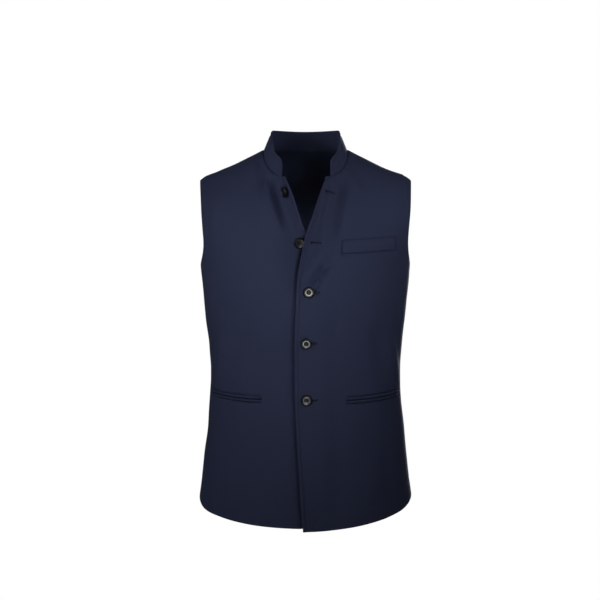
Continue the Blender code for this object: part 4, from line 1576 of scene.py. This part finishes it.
def front_stitches(panel):
    """Short stitches that follow a front's edge, dipping into the cloth at both ends."""
    low = float(hem_height(panel, 0.0)) + EDGE_STITCH
    heights = np.arange(low, COLLAR_END_HEIGHT - BELOW_NECK, PATH_STEP)
    past = np.full_like(heights, BUTTON_STAND - EDGE_STITCH)
    out = stand_normal(panel, past, heights)
    path = stand_point(panel, past, heights) - out * STITCH_DIP
    run = run_of(path)
    for start in np.arange(STITCH_PITCH, run[-1] - STITCH_PITCH, STITCH_PITCH):
        at = start + STITCH_LONG * STITCH_SHARES
        stitch = read_along(path, run, at) + read_along(out, run, at) * STITCH_RISE[:, None]
        yield mirrored(panel, stitch)


left_stitches = tubes("left_edge_stitches", front_stitches(LEFT), STITCH_RADIUS)
right_stitches = tubes("right_edge_stitches", front_stitches(RIGHT), STITCH_RADIUS)
print("edge stitches:", len(left_stitches.data.vertices), "points")

# %% [markdown]
# ## Telling the frame
# Each fine piece rides on the jacket's one body and hides the plain solid that it stands for. The
# area of each cloth piece is printed beside the area of the flat piece it was cut from.

# %% Places and solids
cloth_pieces = {
    "front_left": front_left,
    "front_right": front_right,
    "back": back,
    "collar": collar,
    "chest_welt": welt,
    **jets,
}
for node, piece in cloth_pieces.items():
    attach(piece, "root")
    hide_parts(node)
for number, (disc, thread) in enumerate(zip(buttons, button_threads)):
    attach(disc, "root")
    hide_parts(f"button_{number + 1}")
    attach(thread, "root")
for sewing in (binding, left_stitches, right_stitches):
    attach(sewing, "root")


# %% The flat size of each piece of cloth
Cut = namedtuple("Cut", "width length area")
CUTS = {
    "front_left": Cut(0.297, 0.793, 0.184),
    "front_right": Cut(0.317, 0.786, 0.188),
    "back": Cut(0.502, 0.740, 0.300),
    "collar": Cut(0.426, 0.041, 0.0155),
    "chest_welt": Cut(0.100, 0.0235, 0.0023),
}
JET_CUT = Cut(0.100, 0.010, 0.00095)


def cloth_area(piece):
    """The area of one face of a piece, in square metres."""
    return sum(face.area for face in piece.data.polygons) / 2


for node, piece in cloth_pieces.items():
    width, length, area = CUTS.get(node, JET_CUT)
    print(node, "area", round(cloth_area(piece), 4), "cut from", area)


# %% [markdown]
# ## Studio
# The jacket is seen from the front and slightly above, through a long lens, over a plain pale
# floor. A soft key light from the left and another from high on the right shape the cloth. A low
# light and small ones open the chest, the waist, one side and one shoulder, and one light serves
# the back. Three show only in reflections, where the buttons' polish picks them up. The
# surroundings look white but light the cloth only a little.

# %% Camera
MM_PER_PIXEL = 1.92
FRAME_PIXELS = 600
ORIGIN_PIXEL = (305.6, 148.0)
CAMERA_AWAY = 6.0
CAMERA_DOWN = math.radians(5)
SENSOR = 36.0


def make_camera():
    right = Vector((1, 0, 0))
    ahead = Vector((0, math.cos(CAMERA_DOWN), -math.sin(CAMERA_DOWN)))
    up = right.cross(ahead)
    across = (FRAME_PIXELS / 2 - ORIGIN_PIXEL[0]) * MM_PER_PIXEL * METRE
    down = (ORIGIN_PIXEL[1] - FRAME_PIXELS / 2) * MM_PER_PIXEL * METRE
    lens = bpy.data.cameras.new("camera")
    lens.sensor_width = SENSOR
    lens.lens = SENSOR * CAMERA_AWAY / (FRAME_PIXELS * MM_PER_PIXEL * METRE)
    camera = put("camera", lens)
    view = Matrix((right, up, -ahead)).transposed().to_4x4()
    camera.matrix_world = Matrix.Translation(right * across + up * down - ahead * CAMERA_AWAY) @ view
    bpy.context.scene.camera = camera
    print("lens", round(lens.lens, 1), "mm at", CAMERA_AWAY, "m")


make_camera()

# %% Floor
FLOOR_HEIGHT = -1.45
FLOOR_RADIUS = 2.6
FLOOR_SIDES = 96


def make_floor():
    made, tree = new_finish("pale floor", {"Roughness": 0.9})
    add_tone(tree, object_place(tree), (0.80, 0.80, 0.80), (0.84, 0.84, 0.84), per_unit=1.5)
    shape = bmesh.new()
    bmesh.ops.create_circle(shape, cap_ends=True, segments=FLOOR_SIDES, radius=FLOOR_RADIUS)
    mesh = bpy.data.meshes.new("floor")
    shape.to_mesh(mesh)
    shape.free()
    mesh.materials.append(made)
    floor = put("floor", mesh)
    floor.location = (0, 0, FLOOR_HEIGHT)


make_floor()

# %% Lights
Light = namedtuple("Light", "name place aim kind power seen_by")
Kind = namedtuple("Kind", "wide tall spread")
SOFT, LOW, REAR = Kind(1.0, 1.0, 180), Kind(1.0, 1.0, 60), Kind(1.0, 1.0, 50)
NARROW, SPOT = Kind(0.5, 0.5, 26), Kind(0.1, 0.1, 8)
WIDE_GLINT, LOW_GLINT, TALL_GLINT = Kind(0.4, 0.36, 90), Kind(0.3, 0.16, 90), Kind(0.26, 0.46, 90)
LIGHTS = table_of(
    Light,
    ("soft key", (-1.13, -1.0, 0.14), (0.0, -0.05, -0.12), SOFT, 2.6, "all"),
    ("high light", (1.045, -0.234, 0.941), (0.0, -0.05, -0.12), SOFT, 2.0, "all"),
    ("low light", (-0.857, -1.274, -0.319), (0.0, -0.05, -0.45), LOW, 1.0, "cloth"),
    ("waist light", (0.3, -1.29, -0.119), (-0.14, -0.08, -0.3), NARROW, 0.34, "cloth"),
    ("far chest light", (-0.965, -0.724, 0.071), (0.15, -0.08, -0.11), NARROW, 0.3, "all"),
    ("near chest light", (0.965, -0.724, 0.071), (-0.15, -0.08, -0.11), NARROW, 0.27, "all"),
    ("side light", (0.982, -0.578, 0.536), (0.12, -0.08, -0.3), NARROW, 0.085, "all"),
    ("button light", (0.02, -1.6, -0.15), (0.0, -0.13, -0.27), WIDE_GLINT, 1.35, "polish"),
    ("low button light", (-0.02, -1.6, -0.92), (0.0, -0.12, -0.36), LOW_GLINT, 0.4, "polish"),
    ("mid button light", (-0.02, -1.6, -0.57), (0.0, -0.12, -0.4), TALL_GLINT, 0.2, "polish"),
    ("shoulder light", (0.95, -0.45, 0.2), (0.175, -0.05, -0.11), SPOT, 0.009, "cloth"),
    ("back light", (0.5, 2.2, -0.1), (0.0, 0.0, -0.3), REAR, 6.5, "all"),
)
SURROUND_LIGHT = 0.141


def make_light(row):
    lamp = bpy.data.lights.new(row.name, "AREA")
    lamp.shape = "RECTANGLE"
    lamp.size = row.kind.wide
    lamp.size_y = row.kind.tall
    lamp.spread = math.radians(row.kind.spread)
    lamp.energy = row.power
    light = put(row.name, lamp)
    light.location = row.place
    light.rotation_euler = (Vector(row.aim) - Vector(row.place)).to_track_quat("-Z", "Y").to_euler()
    light.visible_camera = False
    light.visible_diffuse = row.seen_by != "polish"
    light.visible_glossy = row.seen_by != "cloth"


def make_surroundings():
    """White to look at, but a weak light on the cloth."""
    world = bpy.data.worlds.new("surroundings")
    world.use_nodes = True
    tree = world.node_tree
    seen = add_node(tree, "LightPath").outputs["Is Camera Ray"]
    glows = []
    for strength in (SURROUND_LIGHT, 1.0):
        glow = add_node(tree, "Background", {"Color": (1, 1, 1, 1), "Strength": strength})
        glows.append(glow.outputs[0])
    mixed = add_node(tree, "MixShader", {0: seen, 1: glows[0], 2: glows[1]})
    tree.links.new(mixed.outputs[0], tree.nodes["World Output"].inputs["Surface"])
    bpy.context.scene.world = world


for row in LIGHTS:
    make_light(row)
make_surroundings()
bpy.context.scene.view_settings.view_transform = "Standard"
print("lights:", [row.name for row in LIGHTS])
